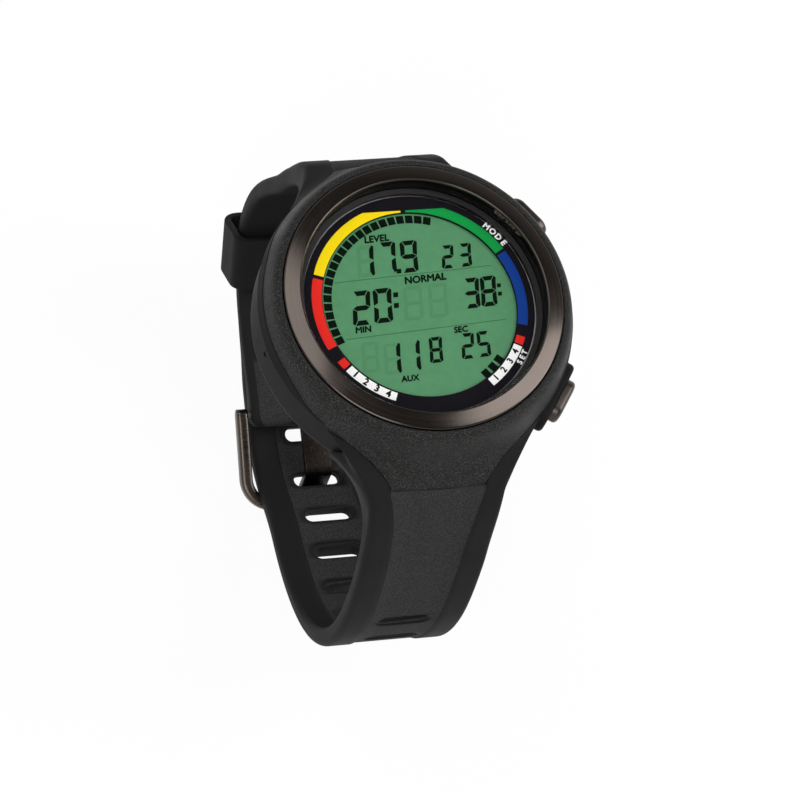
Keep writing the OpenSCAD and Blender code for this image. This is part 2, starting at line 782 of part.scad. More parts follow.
module case_back() {
    color("#333333") difference() {
        union() {
            cylinder(r = back_r, h = back_t);
            cylinder(r = collar_r, h = collar_z);
        }
        translate([0, 0, -eps]) cylinder(r = hatch_r + hatch_gap, h = hatch_t + 0.1 + eps);
        translate([0, 0, -eps]) cylinder(r = plug_r + hatch_gap, h = collar_z + 1);
        ring(
            back_groove_r + back_groove_w, back_groove_r,
            back_t - back_groove_h, back_t + eps
        );
        for (a = screw_angles) rotate([0, 0, a]) translate([screw_circle_r, 0, -eps]) {
            cylinder(r = screw_r + 0.05, h = back_t + 1, $fn = 32);
            cylinder(r = screw_head_r + 0.05, h = 0.9 + eps, $fn = 32);
        }
        for (a = [60, 180, 300]) rotate([0, 0, a])
            translate([plug_r - 1, -3.8, hatch_t + 0.2]) cube([tab_r - plug_r + 1.2, 7.6, collar_z]);
    }
}

module case_back_gasket() {
    color("#161616") ring(
        back_groove_r + back_groove_w - 0.05, back_groove_r + 0.05,
        back_t - back_groove_h + 0.02, back_t
    );
}

module case_back_screws() {
    color(steel) for (a = screw_angles) rotate([0, 0, a]) translate([screw_circle_r, 0, 0]) difference() {
        union() {
            translate([0, 0, 0.1]) cylinder(r = screw_head_r, h = 0.8, $fn = 32);
            cylinder(r = screw_r, h = ledge_z + ledge_t - 0.5, $fn = 32);
        }
        translate([-0.2, -screw_head_r - 0.2, -eps]) cube([0.4, 2 * screw_head_r + 0.4, 0.5]);
    }
}

module button_piece(angle) {
    edge = 0.5;
    color(gunmetal) at_button(angle) {
        translate([0, 0, cap_back_r]) linear_extrude(cap_face_r - edge - cap_back_r) stadium(cap_l, cap_h);
        translate([0, 0, cap_face_r - edge]) linear_extrude(edge) stadium(cap_l - 2 * edge, cap_h - 2 * edge);
        translate([0, 0, stem_end_r]) cylinder(r = stem_r, h = cap_back_r - stem_end_r + eps, $fn = 48);
    }
}

module button_clip(angle) {
    color(steel) at_button(angle)
        ring(clip_r, stem_r + 0.02, bushing_end_r - 0.05 - clip_t, bushing_end_r - 0.05);
}

module upper_button() { button_piece(button_angle); }
module lower_button() { button_piece(-button_angle); }
module upper_button_clip() { button_clip(button_angle); }
module lower_button_clip() { button_clip(-button_angle); }

module button_bushings() {
    color("#b08d4f") for (a = buttons) at_button(a) difference() {
        union() {
            translate([0, 0, bushing_end_r])
                cylinder(r = bushing_r, h = pocket_floor_r - bushing_end_r, $fn = 48);
            translate([0, 0, case_inner_r - 0.2 - flange_h])
                cylinder(r = flange_r, h = flange_h, $fn = 48);
        }
        translate([0, 0, bushing_end_r - 1]) cylinder(r = stem_r + stem_gap, h = 8, $fn = 48);
        translate([0, 0, oring_at_r - oring_groove_w / 2])
            cylinder(r = oring_groove_r, h = oring_groove_w, $fn = 48);
    }
}

module button_orings() {
    color("#161616") for (a = buttons) at_button(a) translate([0, 0, oring_at_r])
        rotate_extrude() translate([stem_r + stem_gap + oring_d / 2, 0]) circle(d = oring_d - 0.04, $fn = 24);
}

module button_springs() {
    color(steel) for (a = buttons) at_button(a)
        ring(stem_r + 0.8, stem_r + 0.3, pocket_floor_r, pocket_floor_r + spring_t);
}

// The strap's end that hugs the case on both sides of the tongue.
module strap_horns(side) {
    rise = (tongue_r - cover_r) / (case_split_z - tongue_end_z);
    cone_r = function (z) cover_r + (case_split_z - z) * rise - 0.12;
    flank_x = strap_root_w / 2 + flank_r;
    flank_y = sqrt((case_r + flank_r) ^ 2 - flank_x ^ 2);
    difference() {
        intersection() {
            rotate_extrude() polygon([
                [case_r + strap_gap, horn_foot_z],
                [cone_r(horn_foot_z + 2.4), horn_foot_z],
                [cone_r(horn_foot_z + 2.4), horn_foot_z + 2.4],
                [cone_r(horn_top_z), horn_top_z],
                [case_r + strap_gap, horn_top_z]
            ]);
            translate([-horn_half_w, side > 0 ? 0 : -2 * case_r, 0])
                cube([2 * horn_half_w, 2 * case_r, case_split_z]);
        }
        for (s = [-1, 1]) translate([s * flank_x, side * flank_y, -eps])
            cylinder(r = flank_r, h = case_split_z);
    }
}

// Room in the strap for the case, its lug knuckle, the tongue and the strap pin.
module lug_room(side) {
    half = tongue_half_w + strap_gap;
    translate([0, 0, -root_room]) cylinder(r = case_r + strap_gap, h = case_split_z + 2 * root_room);
    rod(lug_r + strap_gap, half, side * lug_pin_y, lug_pin_z);
    translate([-half, side > 0 ? lug_pin_y - root_room : -lug_pin_y, lug_pin_z - lug_r - strap_gap])
        cube([2 * half, root_room, 2 * lug_r + 2 * strap_gap]);
    tongues(strap_gap * 0.8);
    rod(lug_pin_r + 0.03, strap_root_w, side * lug_pin_y, lug_pin_z);
}

module strap_upper() {
    steps = 40;
    first = lug_angle(1) + root_overlap;
    last = pin_angle - 360;
    notch = prong_w / 2 + 0.4;
    color(black) difference() {
        union() {
            sweep([for (i = [0 : steps]) strap_ring(1, first + (last - first) * i / steps, 1)], true);
            strap_horns(1);
            in_buckle() translate([0, 0, -buckle_w / 2]) cylinder(r = knuckle_r, h = buckle_w, $fn = 48);
        }
        lug_room(1);
        in_buckle() translate([0, 0, -strap_w]) cylinder(r = pin_bore_r, h = 2 * strap_w, $fn = 48);
        in_buckle() translate([-2 * eye_r, -2 * eye_r, -notch]) cube([4 * eye_r, 3 * eye_r + 0.4, 2 * notch]);
    }
}

module strap_lower() {
    steps = 46;
    first = lug_angle(-1) - root_overlap;
    tip_steps = 6;
    tip_from = tail_end_angle - tip_angle;
    angles = concat(
        [for (i = [0 : steps]) first + (tip_from - first) * i / steps],
        [for (i = [1 : tip_steps]) tip_from + tip_angle * sin(90 * i / tip_steps)]
    );
    color(black) difference() {
        union() {
            sweep([for (a = angles) strap_ring(-1, a, tip_share(a, tail_end_angle))], false);
            strap_horns(-1);
        }
        lug_room(-1);
        for (k = [-slots_below : slots_above]) in_loop() rotate([0, 0, slot_angle + k * slot_step])
            translate([loop_r / 2, 0, 0]) rotate([90, 0, 90]) linear_extrude(loop_r) stadium(slot_l, slot_w);
    }
}

module strap_pins() {
    color(steel) for (side = [-1, 1])
        rod(lug_pin_r, strap_root_w / 2 - 0.6, side * lug_pin_y, lug_pin_z);
}

module buckle_pin() {
    half = frame_half_w + arm_t - 0.3;
    color(steel) in_buckle() translate([0, 0, -half]) cylinder(r = pin_r, h = 2 * half, $fn = 48);
}

// A plate in the buckle's side view: points are [along the arms, outwards].
module side_plate(points, low, high) {
    translate([0, 0, low]) linear_extrude(high - low) polygon([for (p = points) [p[1], -p[0]]]);
}

// The buckle's outline seen from outside: x is negative towards the cross bar.
module buckle_plan(half, reach, corner, open) {
    translate([-reach, -half + corner]) square([reach + open, 2 * half - 2 * corner]);
    translate([-reach + corner, -half]) square([reach - corner + open, 2 * half]);
    for (s = [-1, 1]) translate([-reach + corner, s * (half - corner)]) circle(r = corner, $fn = 48);
}

module buckle_frame() {
    half = arm_h / 2;
    color(gunmetal) in_buckle() rotate([0, 0, buckle_tilt]) difference() {
        union() {
            translate([-half, 0, 0]) rotate([90, 0, 90]) linear_extrude(arm_h) difference() {
                buckle_plan(frame_half_w + arm_t, bar_reach + arm_t / 2, buckle_corner_r + arm_t, 0);
                buckle_plan(frame_half_w, bar_reach - arm_t / 2, buckle_corner_r, 1);
            }
            for (low = [-frame_half_w - arm_t, frame_half_w])
                translate([0, 0, low]) cylinder(r = half, h = arm_t, $fn = 48);
        }
        translate([0, 0, -strap_w]) cylinder(r = pin_bore_r, h = 2 * strap_w, $fn = 48);
    }
}

module buckle_prong() {
    t = prong_t;
    root = [0, -eye_r + t / 2];
    knee = [prong_cross - 1.37, -eye_r - 0.1];
    tip = [bar_reach + 1.7, bar_reach * sin(buckle_tilt) + arm_h / 2 + 0.4 + t / 2];
    top = [prong_cross + 0.83, tip[1] - 0.15];
    color(gunmetal) in_buckle() difference() {
        union() {
            translate([0, 0, -prong_w / 2]) cylinder(r = eye_r, h = prong_w, $fn = 48);
            side_plate([
                [root[0], root[1] + t / 2], [knee[0] - t * 0.35, knee[1] + t / 2],
                [top[0] - t / 2, top[1] + t * 0.35], [top[0], top[1] + t / 2], [tip[0], tip[1] + t / 2],
                [tip[0], tip[1] - t / 2], [top[0] + t * 0.7, top[1] - t / 2 - 0.2],
                [knee[0] + t * 0.6, knee[1] - t / 2 + 0.2], [knee[0], knee[1] - t / 2],
                [root[0], root[1] - t / 2]
            ], -prong_w / 2, prong_w / 2);
        }
        translate([0, 0, -strap_w]) cylinder(r = pin_bore_r, h = 2 * strap_w, $fn = 48);
    }
}

module strap_keeper() {
    half_in = keeper_half_w;
    half_out = keeper_half_w + keeper_t;
    lo = keeper_in_r - keeper_t;
    hi = keeper_out_r + keeper_t;
    round_r = keeper_round;
    color(black) in_loop() rotate([0, 0, keeper_angle - keeper_sweep / 2]) difference() {
        rotate_extrude(angle = keeper_sweep) polygon([
            [lo, -half_out + round_r], [lo + round_r, -half_out],
            [hi - round_r, -half_out], [hi, -half_out + round_r],
            [hi, half_out - round_r], [hi - round_r, half_out],
            [lo + round_r, half_out], [lo, half_out - round_r]
        ]);
        rotate([0, 0, -1]) rotate_extrude(angle = keeper_sweep + 2) polygon([
            [keeper_in_r, -half_in], [keeper_out_r, -half_in], [keeper_out_r, half_in], [keeper_in_r, half_in]
        ]);
    }
}

upper_case();
lower_case();
bezel();
crystal();
crystal_gasket();
dial_mask();
lcd_panel();
lcd_holder();
light_guide();
elastomer_connectors();
circuit_board();
circuit_chips();
button_switches();
pressure_sensor();
sensor_filter();
buzzer();
antenna();
coin_cell();
battery_tray();
battery_contacts();
battery_hatch();
hatch_oring();
case_back();
case_back_gasket();
case_back_screws();
upper_button();
lower_button();
upper_button_clip();
lower_button_clip();
button_bushings();
button_orings();
button_springs();
strap_upper();
strap_lower();
strap_pins();
buckle_pin();
buckle_frame();
buckle_prong();
strap_keeper();
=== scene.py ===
"""Looks of a wrist dive computer on a buckled rubber strap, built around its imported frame.

Sizes are in millimetres, in the frame of the part: +Z is the face normal, +Y is 12 o'clock,
+X is 3 o'clock, and the origin is the centre of the case back's outer face.
"""

import logging
import math
from collections.abc import Callable, Sequence
from dataclasses import dataclass
from enum import Enum
from functools import cache

import bmesh
import bpy
from mathutils import Matrix, Vector


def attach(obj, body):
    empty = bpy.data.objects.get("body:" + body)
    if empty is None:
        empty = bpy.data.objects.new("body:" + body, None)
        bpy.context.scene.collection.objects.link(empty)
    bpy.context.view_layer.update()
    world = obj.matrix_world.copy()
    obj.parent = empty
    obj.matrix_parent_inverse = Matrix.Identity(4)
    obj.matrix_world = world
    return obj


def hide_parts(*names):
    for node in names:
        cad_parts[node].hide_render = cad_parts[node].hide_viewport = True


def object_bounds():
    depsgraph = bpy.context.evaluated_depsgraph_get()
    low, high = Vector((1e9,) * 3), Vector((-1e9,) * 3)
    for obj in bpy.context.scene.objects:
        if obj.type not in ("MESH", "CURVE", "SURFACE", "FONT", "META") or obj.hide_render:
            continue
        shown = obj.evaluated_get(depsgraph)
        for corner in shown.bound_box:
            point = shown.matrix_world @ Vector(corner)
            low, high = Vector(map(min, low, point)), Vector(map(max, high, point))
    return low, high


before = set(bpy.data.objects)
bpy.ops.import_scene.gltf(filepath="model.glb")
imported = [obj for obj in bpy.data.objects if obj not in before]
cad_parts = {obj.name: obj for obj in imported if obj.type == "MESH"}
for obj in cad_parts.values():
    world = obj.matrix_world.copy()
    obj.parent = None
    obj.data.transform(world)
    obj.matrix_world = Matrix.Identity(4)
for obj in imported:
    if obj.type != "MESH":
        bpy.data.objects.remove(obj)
CAD_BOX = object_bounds()
MM = 0.001
MERGE_M = 1e-8
HALVINGS = 30
PANEL_MARK = "panel_share"
GRAIN_NOISE = {"Detail": 2.5, "Roughness": 0.6}
Point = Pair = tuple[float, float]
Triple = tuple[float, float, float]
Mesh = tuple[list[Vector], list[tuple[int, ...]]]
log = logging.getLogger("dive_computer")


def linear(colour: str) -> tuple[float, float, float, float]:
    """Turns an sRGB hex colour into linear RGBA.

    Args:
        colour: The colour as "#rrggbb".

    Returns:
        Red, green, blue and alpha, from 0 to 1.
    """
    channels = [int(colour[i:i + 2], 16) / 255 for i in (1, 3, 5)]
    r, g, b = (c / 12.92 if c <= 0.04045 else ((c + 0.055) / 1.055) ** 2.4 for c in channels)
    return r, g, b, 1.0


def add_node(tree: bpy.types.NodeTree, kind: str, inputs: dict | None = None, **settings) -> bpy.types.Node:
    """Adds a node with its settings and links.

    Args:
        tree: The tree that the node goes into.
        kind: The node's type name.
        inputs: Input name or index to a socket, to a node whose first output is meant, or to a plain value.
        settings: The node's own properties.

    Returns:
        The new node.
    """
    made = tree.nodes.new(kind)
    for name, value in settings.items():
        setattr(made, name, value)
    for key, value in (inputs or {}).items():
        source = value.outputs[0] if isinstance(value, bpy.types.Node) else value
        if isinstance(source, bpy.types.NodeSocket):
            tree.links.new(source, made.inputs[key])
        else:
            made.inputs[key].default_value = source
    return made


class Grain(Enum):
    """How a surface was made, which sets the way its grain runs."""

    MOULDED = "moulded"
    TURNED = "turned"
    BRUSHED = "brushed"


@dataclass(frozen=True)
class Finish:
    """A surface with a base colour, flecks, a grain of real size and a slow drift of sheen."""

    name: str
    colour: str
    fleck: str
    roughness: float
    grain_mm: float
    relief_mm: float
    grain: Grain = Grain.MOULDED
    metallic: float = 0.0
    ior: float = 1.5
    roughness_swing: float = 0.08
    fleck_span: Pair = (0.5, 0.75)
    sheen_span: Pair = (0.6, 1.4)
    drift_mm: float = 9.0
    brush_stretch: float = 0.06

    def grain_place(self, tree: bpy.types.NodeTree) -> bpy.types.NodeSocket:
        """Adds the coordinates that the grain is drawn on.

        Args:
            tree: The material's node tree.

        Returns:
            A vector socket in metres, stretched along the lay of the grain.
        """
        place = add_node(tree, "ShaderNodeTexCoord").outputs["Object"]
        if self.grain is Grain.TURNED:
            flat = add_node(tree, "ShaderNodeVectorMath", {0: place, 1: (1, 1, 0)}, operation="MULTIPLY")
            radius = add_node(tree, "ShaderNodeVectorMath", {0: flat}, operation="LENGTH").outputs["Value"]
            height = add_node(tree, "ShaderNodeSeparateXYZ", {0: place}).outputs["Z"]
            return add_node(tree, "ShaderNodeCombineXYZ", {"X": radius, "Z": height}).outputs[0]
        stretch = (self.brush_stretch if self.grain is Grain.BRUSHED else 1, 1, 1)
        return add_node(tree, "ShaderNodeMapping", {"Vector": place, "Scale": stretch}).outputs[0]

    def surface(self, tree: bpy.types.NodeTree) -> bpy.types.Node:
        """Adds the finish's nodes.

        Args:
            tree: The material's node tree.

        Returns:
            The shader's node.
        """
        grain = add_node(tree, "ShaderNodeTexNoise", {
            "Vector": self.grain_place(tree), "Scale": 1 / (self.grain_mm * MM), **GRAIN_NOISE,
        })
        fleck = add_node(tree, "ShaderNodeMapRange", {
            "Value": grain, "From Min": self.fleck_span[0], "From Max": self.fleck_span[1],
        })
        tint = add_node(tree, "ShaderNodeMix", {
            "Factor": fleck, "A": linear(self.colour), "B": linear(self.fleck),
        }, data_type="RGBA")
        place = add_node(tree, "ShaderNodeTexCoord").outputs["Object"]
        drift = add_node(tree, "ShaderNodeTexNoise", {
            "Vector": place, "Scale": 1 / (self.drift_mm * MM), "Detail": 2,
        })
        sheen = add_node(tree, "ShaderNodeMath", {0: grain, 1: drift}, operation="ADD")
        rough = add_node(tree, "ShaderNodeMapRange", {
            "Value": sheen, "From Min": self.sheen_span[0], "From Max": self.sheen_span[1],
            "To Min": self.roughness - self.roughness_swing, "To Max": self.roughness + self.roughness_swing,
        })
        bump = add_node(tree, "ShaderNodeBump", {"Height": grain, "Distance": self.relief_mm * MM})
        return add_node(tree, "ShaderNodeBsdfPrincipled", {
            "Base Color": tint.outputs["Result"], "Roughness": rough, "Normal": bump,
            "Metallic": self.metallic, "IOR": self.ior,
        })


@dataclass(frozen=True)
class StrapRubber:
    """Polyurethane rubber: smooth satin borders, and a grained matt panel down the middle of both faces.

    The grain is drawn coarser than the mould's own, so that it shows.
    """

    name: str = "polyurethane_rubber_moulded"
    border: str = "#212121"
    panel: str = "#3b3b3b"
    border_roughness: float = 0.55
    panel_roughness: float = 0.7
    roughness_swing: float = 0.05
    ior: float = 1.12
    grain_mm: float = 0.28
    relief_mm: float = 0.03
    smudge_mm: float = 11.0
    smudge_span: Pair = (0.3, 0.7)
    fleck_span: Pair = (0.38, 0.64)
    fleck_least: float = 0.3

    def surface(self, tree: bpy.types.NodeTree) -> bpy.types.Node:
        """Adds the rubber's nodes, with the panel where the mesh marks it.

        Args:
            tree: The material's node tree.

        Returns:
            The shader's node.
        """
        place = add_node(tree, "ShaderNodeTexCoord").outputs["Object"]
        panel = add_node(tree, "ShaderNodeAttribute", attribute_name=PANEL_MARK).outputs["Fac"]
        grain = add_node(tree, "ShaderNodeTexNoise", {
            "Vector": place, "Scale": 1 / (self.grain_mm * MM), **GRAIN_NOISE,
        })
        smudge = add_node(tree, "ShaderNodeTexNoise", {
            "Vector": place, "Scale": 1 / (self.smudge_mm * MM), "Detail": 3,
        })
        fleck = add_node(tree, "ShaderNodeMapRange", {
            "Value": grain, "From Min": self.fleck_span[0], "From Max": self.fleck_span[1],
            "To Min": self.fleck_least, "To Max": 1.0,
        })
        share = add_node(tree, "ShaderNodeMath", {0: panel, 1: fleck}, operation="MULTIPLY")
        tint = add_node(tree, "ShaderNodeMix", {
            "Factor": share, "A": linear(self.border), "B": linear(self.panel),
        }, data_type="RGBA")
        base = add_node(tree, "ShaderNodeMapRange", {
            "Value": panel, "To Min": self.border_roughness, "To Max": self.panel_roughness,
        })
        swing = add_node(tree, "ShaderNodeMapRange", {
            "Value": smudge, "From Min": self.smudge_span[0], "From Max": self.smudge_span[1],
            "To Min": -self.roughness_swing, "To Max": self.roughness_swing,
        })
        rough = add_node(tree, "ShaderNodeMath", {0: base, 1: swing}, operation="ADD")
        depth = add_node(tree, "ShaderNodeMath", {0: grain, 1: panel}, operation="MULTIPLY")
        bump = add_node(tree, "ShaderNodeBump", {"Height": depth, "Distance": self.relief_mm * MM})
        return add_node(tree, "ShaderNodeBsdfPrincipled", {
            "Base Color": tint.outputs["Result"], "Roughness": rough, "Normal": bump, "IOR": self.ior,
        })


@dataclass(frozen=True)
class ClearCrystal:
    """Flat mineral glass with a coating: the dial shows through it, and a little light glances off it."""

    name: str = "mineral_glass_coated"
    ior: float = 1.25
    roughness: float = 0.02

    def surface(self, tree: bpy.types.NodeTree) -> bpy.types.Node:
        """Adds the glass's nodes: clear film and gloss, mixed by the Fresnel share on its front faces.

        Args:
            tree: The material's node tree.

        Returns:
            The shader's node.
        """
        glance = add_node(tree, "ShaderNodeFresnel", {"IOR": self.ior})
        back = add_node(tree, "ShaderNodeNewGeometry").outputs["Backfacing"]
        front = add_node(tree, "ShaderNodeMath", {0: 1.0, 1: back}, operation="SUBTRACT")
        share = add_node(tree, "ShaderNodeMath", {0: glance, 1: front}, operation="MULTIPLY")
        clear = add_node(tree, "ShaderNodeBsdfTransparent")
        gloss = add_node(tree, "ShaderNodeBsdfGlossy", {"Roughness": self.roughness})
        return add_node(tree, "ShaderNodeMixShader", {0: share, 1: clear, 2: gloss})


@dataclass(frozen=True)
class StudioFloor:
    """Pale seamless paper that reads as white, and still takes the object's shadow."""

    name: str = "seamless_paper"
    colour: str = "#ffffff"
    glow: float = 0.94

    def surface(self, tree: bpy.types.NodeTree) -> bpy.types.Node:
        """Adds the paper's nodes, which show white to the camera and in reflections.

        Args:
            tree: The material's node tree.

        Returns:
            The shader's node.
        """
        path = add_node(tree, "ShaderNodeLightPath").outputs
        seen = add_node(tree, "ShaderNodeMath", {
            0: path["Is Camera Ray"], 1: path["Is Glossy Ray"],
        }, operation="MAXIMUM")
        shown = add_node(tree, "ShaderNodeMath", {
            0: seen, 1: path["Is Transmission Ray"],
        }, operation="MAXIMUM")
        share = add_node(tree, "ShaderNodeMath", {0: shown, 1: self.glow}, operation="MULTIPLY")
        paper = add_node(tree, "ShaderNodeBsdfDiffuse", {"Color": linear(self.colour)})
        white = add_node(tree, "ShaderNodeEmission", {"Strength": 1.0})
        return add_node(tree, "ShaderNodeMixShader", {0: share, 1: paper, 2: white})


AnyFinish = Finish | StrapRubber | ClearCrystal | StudioFloor

# An IOR below the usual 1.5 is matched to the flat blacks and prints of the photograph. Spark-eroded, turned,
# brushed and blasted grains are finer than a pixel, so they are drawn at 0.1 to 0.3 mm, where they show.

# Glass-filled nylon from a spark-eroded mould: matt black with real grain bumps; its light flecks are painted
# sparkle, the glints of that grain.
COVER_NYLON = Finish(
    "glass_filled_nylon_grained", "#141414", "#4e4e4c", 0.5, 0.2, 0.14,
    ior=1.25, roughness_swing=0.16, fleck_span=(0.48, 0.74),
)
# Smooth moulded plastic: an even satin black.
SHELL_PLASTIC = Finish("nylon_satin_moulded", "#1c1c1c", "#202020", 0.55, 0.9, 0.004, ior=1.12)
# The strap's rubber, smooth all over: an even satin black.
KEEPER_RUBBER = Finish("polyurethane_rubber_smooth", "#1d1d1d", "#212121", 0.55, 0.5, 0.006, ior=1.12)
# Dark coated steel, turned and polished: warm grey reflections that run round the ring.
BEZEL_STEEL = Finish("coated_steel_turned", "#514a46", "#57504c", 0.19, 0.12, 0.0006, Grain.TURNED, 1.0)
# The same coating on a smaller cap, a little rougher.
BUTTON_STEEL = Finish("coated_steel_bead_blasted", "#4a4441", "#554e4a", 0.34, 0.14, 0.004, metallic=1.0)
# Coated steel brushed along the wire: fine streaks.
BUCKLE_STEEL = Finish("coated_steel_brushed", "#524b45", "#655c55", 0.32, 0.16, 0.008, Grain.BRUSHED, 1.0)
# Tumbled coated steel plate: grainy bronze grey.
PRONG_STEEL = Finish("coated_steel_tumbled", "#24201e", "#433c36", 0.42, 0.24, 0.035, metallic=1.0)
# Sintered steel: porous and dull.
SINTERED_STEEL = Finish("sintered_steel_porous", "#34322f", "#1b1a19", 0.6, 0.12, 0.02, metallic=1.0)
# Bright bar stock off the lathe: pale grey with fine streaks, and warm yellow in brass.
STAINLESS = Finish("stainless_steel_turned", "#b9bcc0", "#c9ccd0", 0.3, 0.1, 0.002, Grain.BRUSHED, 1.0)
BRASS = Finish("brass_machined", "#c8a24a", "#d6b468", 0.32, 0.12, 0.002, Grain.BRUSHED, 1.0)
# Moulded seals: matt black without a shine.
SEAL_RUBBER = Finish("nitrile_rubber_moulded", "#161616", "#1c1c1c", 0.65, 0.3, 0.01)
# Printed film of the dial: an even black with a breath of violet.
DIAL_INK = Finish("printed_polyester_black", "#141218", "#18161c", 0.4, 0.2, 0.002, ior=1.12)
# Reflective display film: soft green that clouds a little.
DISPLAY_FILM = Finish(
    "display_polariser_green", "#468558", "#4b8a5d", 0.5, 1.6, 0.001, fleck_span=(0.35, 0.65),
)
# Marks of the display: dark green, faint green and one in between.
SEGMENT_INK = Finish("display_segment_dark", "#031006", "#05140a", 0.5, 0.3, 0.001, ior=1.12)
GHOST_INK = Finish("display_segment_faint", "#418052", "#448355", 0.5, 0.5, 0.001)
LINE_INK = Finish("display_rule_dark", "#1d5a30", "#20602f", 0.5, 0.5, 0.001)
# Screen-printed inks: flat opaque colours, faintly uneven.
YELLOW_INK, RED_INK, GREEN_INK, BLUE_INK, WHITE_INK = (
    Finish(f"screen_print_{tone}", colour, fleck, 0.45, 0.25, 0.002, ior=1.25)
    for tone, colour, fleck in (
        ("yellow", "#f7d800", "#fbde10"), ("red", "#e2231a", "#e62c22"), ("green", "#009640", "#049a45"),
        ("blue", "#00378c", "#043c92"), ("white", "#fcfcfa", "#ffffff"),
    )
)
# Solder mask over copper: glossy dark green.
BOARD_MASK = Finish("circuit_board_solder_mask", "#1f5b3a", "#266844", 0.4, 0.6, 0.004)
# Moulded epoxy: dull charcoal.
CHIP_EPOXY = Finish("moulded_epoxy_black", "#1a1a1c", "#232325", 0.55, 0.2, 0.006)
# White moulded acetal: waxy and even.
FRAME_PLASTIC = Finish("acetal_white_moulded", "#d8d8d0", "#dededa", 0.45, 0.6, 0.004)
# Moulded acrylic: pale and glossy.
GUIDE_ACRYLIC = Finish("acrylic_moulded", "#e6efe8", "#eaf2ec", 0.15, 0.8, 0.002)
# Conductive rubber: red and black stripes.
CONNECTOR_RUBBER = Finish("conductive_rubber_striped", "#b0463c", "#2a1c1a", 0.6, 0.25, 0.004, Grain.BRUSHED)
# Enamelled wire: reddish brown with the streaks of its turns.
COIL_WIRE = Finish("enamelled_copper_wire", "#7a3e22", "#93512f", 0.35, 0.2, 0.02, Grain.BRUSHED)
# Nickel plate: bright and a little soft.
CELL_STEEL = Finish("nickel_plated_steel", "#c4c6c8", "#cfd1d3", 0.25, 0.2, 0.002, Grain.TURNED, 1.0)

FINISH_NODES: dict[Finish, tuple[str, ...]] = {
    SHELL_PLASTIC: ("lower_case", "case_back", "battery_hatch"),
    SEAL_RUBBER: ("crystal_gasket", "hatch_oring", "case_back_gasket", "button_orings"),
    DIAL_INK: ("dial_mask",),
    DISPLAY_FILM: ("lcd_panel",),
    FRAME_PLASTIC: ("lcd_holder", "battery_tray"),
    GUIDE_ACRYLIC: ("light_guide",),
    CONNECTOR_RUBBER: ("elastomer_connectors",),
    BOARD_MASK: ("circuit_board",),
    CHIP_EPOXY: ("circuit_chips", "button_switches"),
    STAINLESS: (
        "pressure_sensor", "case_back_screws", "upper_button_clip", "lower_button_clip", "button_springs",
        "strap_pins", "buckle_pin",
    ),
    SINTERED_STEEL: ("sensor_filter",),
    BRASS: ("buzzer", "battery_contacts", "button_bushings"),
    COIL_WIRE: ("antenna",),
    CELL_STEEL: ("coin_cell",),
}


@cache
def material_of(finish: AnyFinish) -> bpy.types.Material:
    """Gives a finish's material, which is built on the first call.

    Args:
        finish: The finish.

    Returns:
        The node material.
    """
    made = bpy.data.materials.new(finish.name)
    made.use_nodes = True
    made.node_tree.nodes.clear()
    add_node(made.node_tree, "ShaderNodeOutputMaterial", {"Surface": finish.surface(made.node_tree)})
    return made


def ease(u: float) -> float:
    """Eases from 0 to 1 with level ends."""
    v = min(1.0, max(0.0, u))
    return v * v * (3 - 2 * v)


def mix(a: float, b: float, share: float) -> float:
    """Goes from a to b by a share."""
    return a + (b - a) * share


def quarter(steps: int) -> list[float]:
    """Angles from 0 to a quarter turn, in radians."""
    return [math.pi / 2 * k / steps for k in range(steps + 1)]


def circle(steps: int) -> list[float]:
    """Angles of a whole turn without its end, in radians."""
    return [2 * math.pi * k / steps for k in range(steps)]


def polar(r: float, a: float) -> Point:
    """Point at a radius and an angle in radians."""
    return r * math.cos(a), r * math.sin(a)


def bezier(knots: Sequence[Sequence[float]], t: float) -> Vector:
    """Point at a share along a cubic curve of four knots."""
    p0, p1, p2, p3 = (Vector(p) for p in knots)
    return p0 * (1 - t) ** 3 + p1 * (3 * t * (1 - t) ** 2) + p2 * (3 * t ** 2 * (1 - t)) + p3 * t ** 3


def last_true(test: Callable[[float], bool]) -> float:
    """Finds, by halving, where a test stops to hold.

    Args:
        test: Holds at small shares and fails at large ones.

    Returns:
        The share from 0 to 1 up to which it holds.
    """
    low, high = 0.0, 1.0
    for _ in range(HALVINGS):
        mid = (low + high) / 2
        low, high = (mid, high) if test(mid) else (low, mid)
    return low


def rectangle(x: float, low: float, high: float, under: float, over: float) -> list[Triple]:
    """Corners of a rectangle that lies evenly about 0, with the rounding of its lower and upper ones."""
    return [(-x, low, under), (x, low, under), (x, high, over), (-x, high, over)]


def stadium(straight: float, r: float, steps: int) -> list[Point]:
    """Outline of a slot: two straight sides along X, and round ends of so many steps."""
    end = [polar(r, math.pi * (k / steps - 0.5)) for k in range(steps + 1)]
    return [(way * (straight / 2 + x), way * y) for way in (1, -1) for x, y in end]


def rounded(corners: Sequence[Triple], steps: int = 5) -> list[Point]:
    """Rounds the corners of a closed outline.

    Args:
        corners: Each corner's two coordinates and its rounding.
        steps: Number of points on a rounded corner, less one.

    Returns:
        The outline's points, in the order of the corners.
    """
    outline: list[Point] = []
    count = len(corners)
    for i, (x, y, radius) in enumerate(corners):
        here = Vector((x, y))
        before, after = (Vector(corners[(i + k) % count][:2]) - here for k in (-1, 1))
        reach = min(radius, before.length / 2.01, after.length / 2.01)
        if reach <= 0:
            outline.append((x, y))
            continue
        start, end = here + before.normalized() * reach, here + after.normalized() * reach
        for t in (k / steps for k in range(steps + 1)):
            outline.append(tuple(start * (1 - t) ** 2 + here * (2 * t * (1 - t)) + end * t ** 2))
    return outline


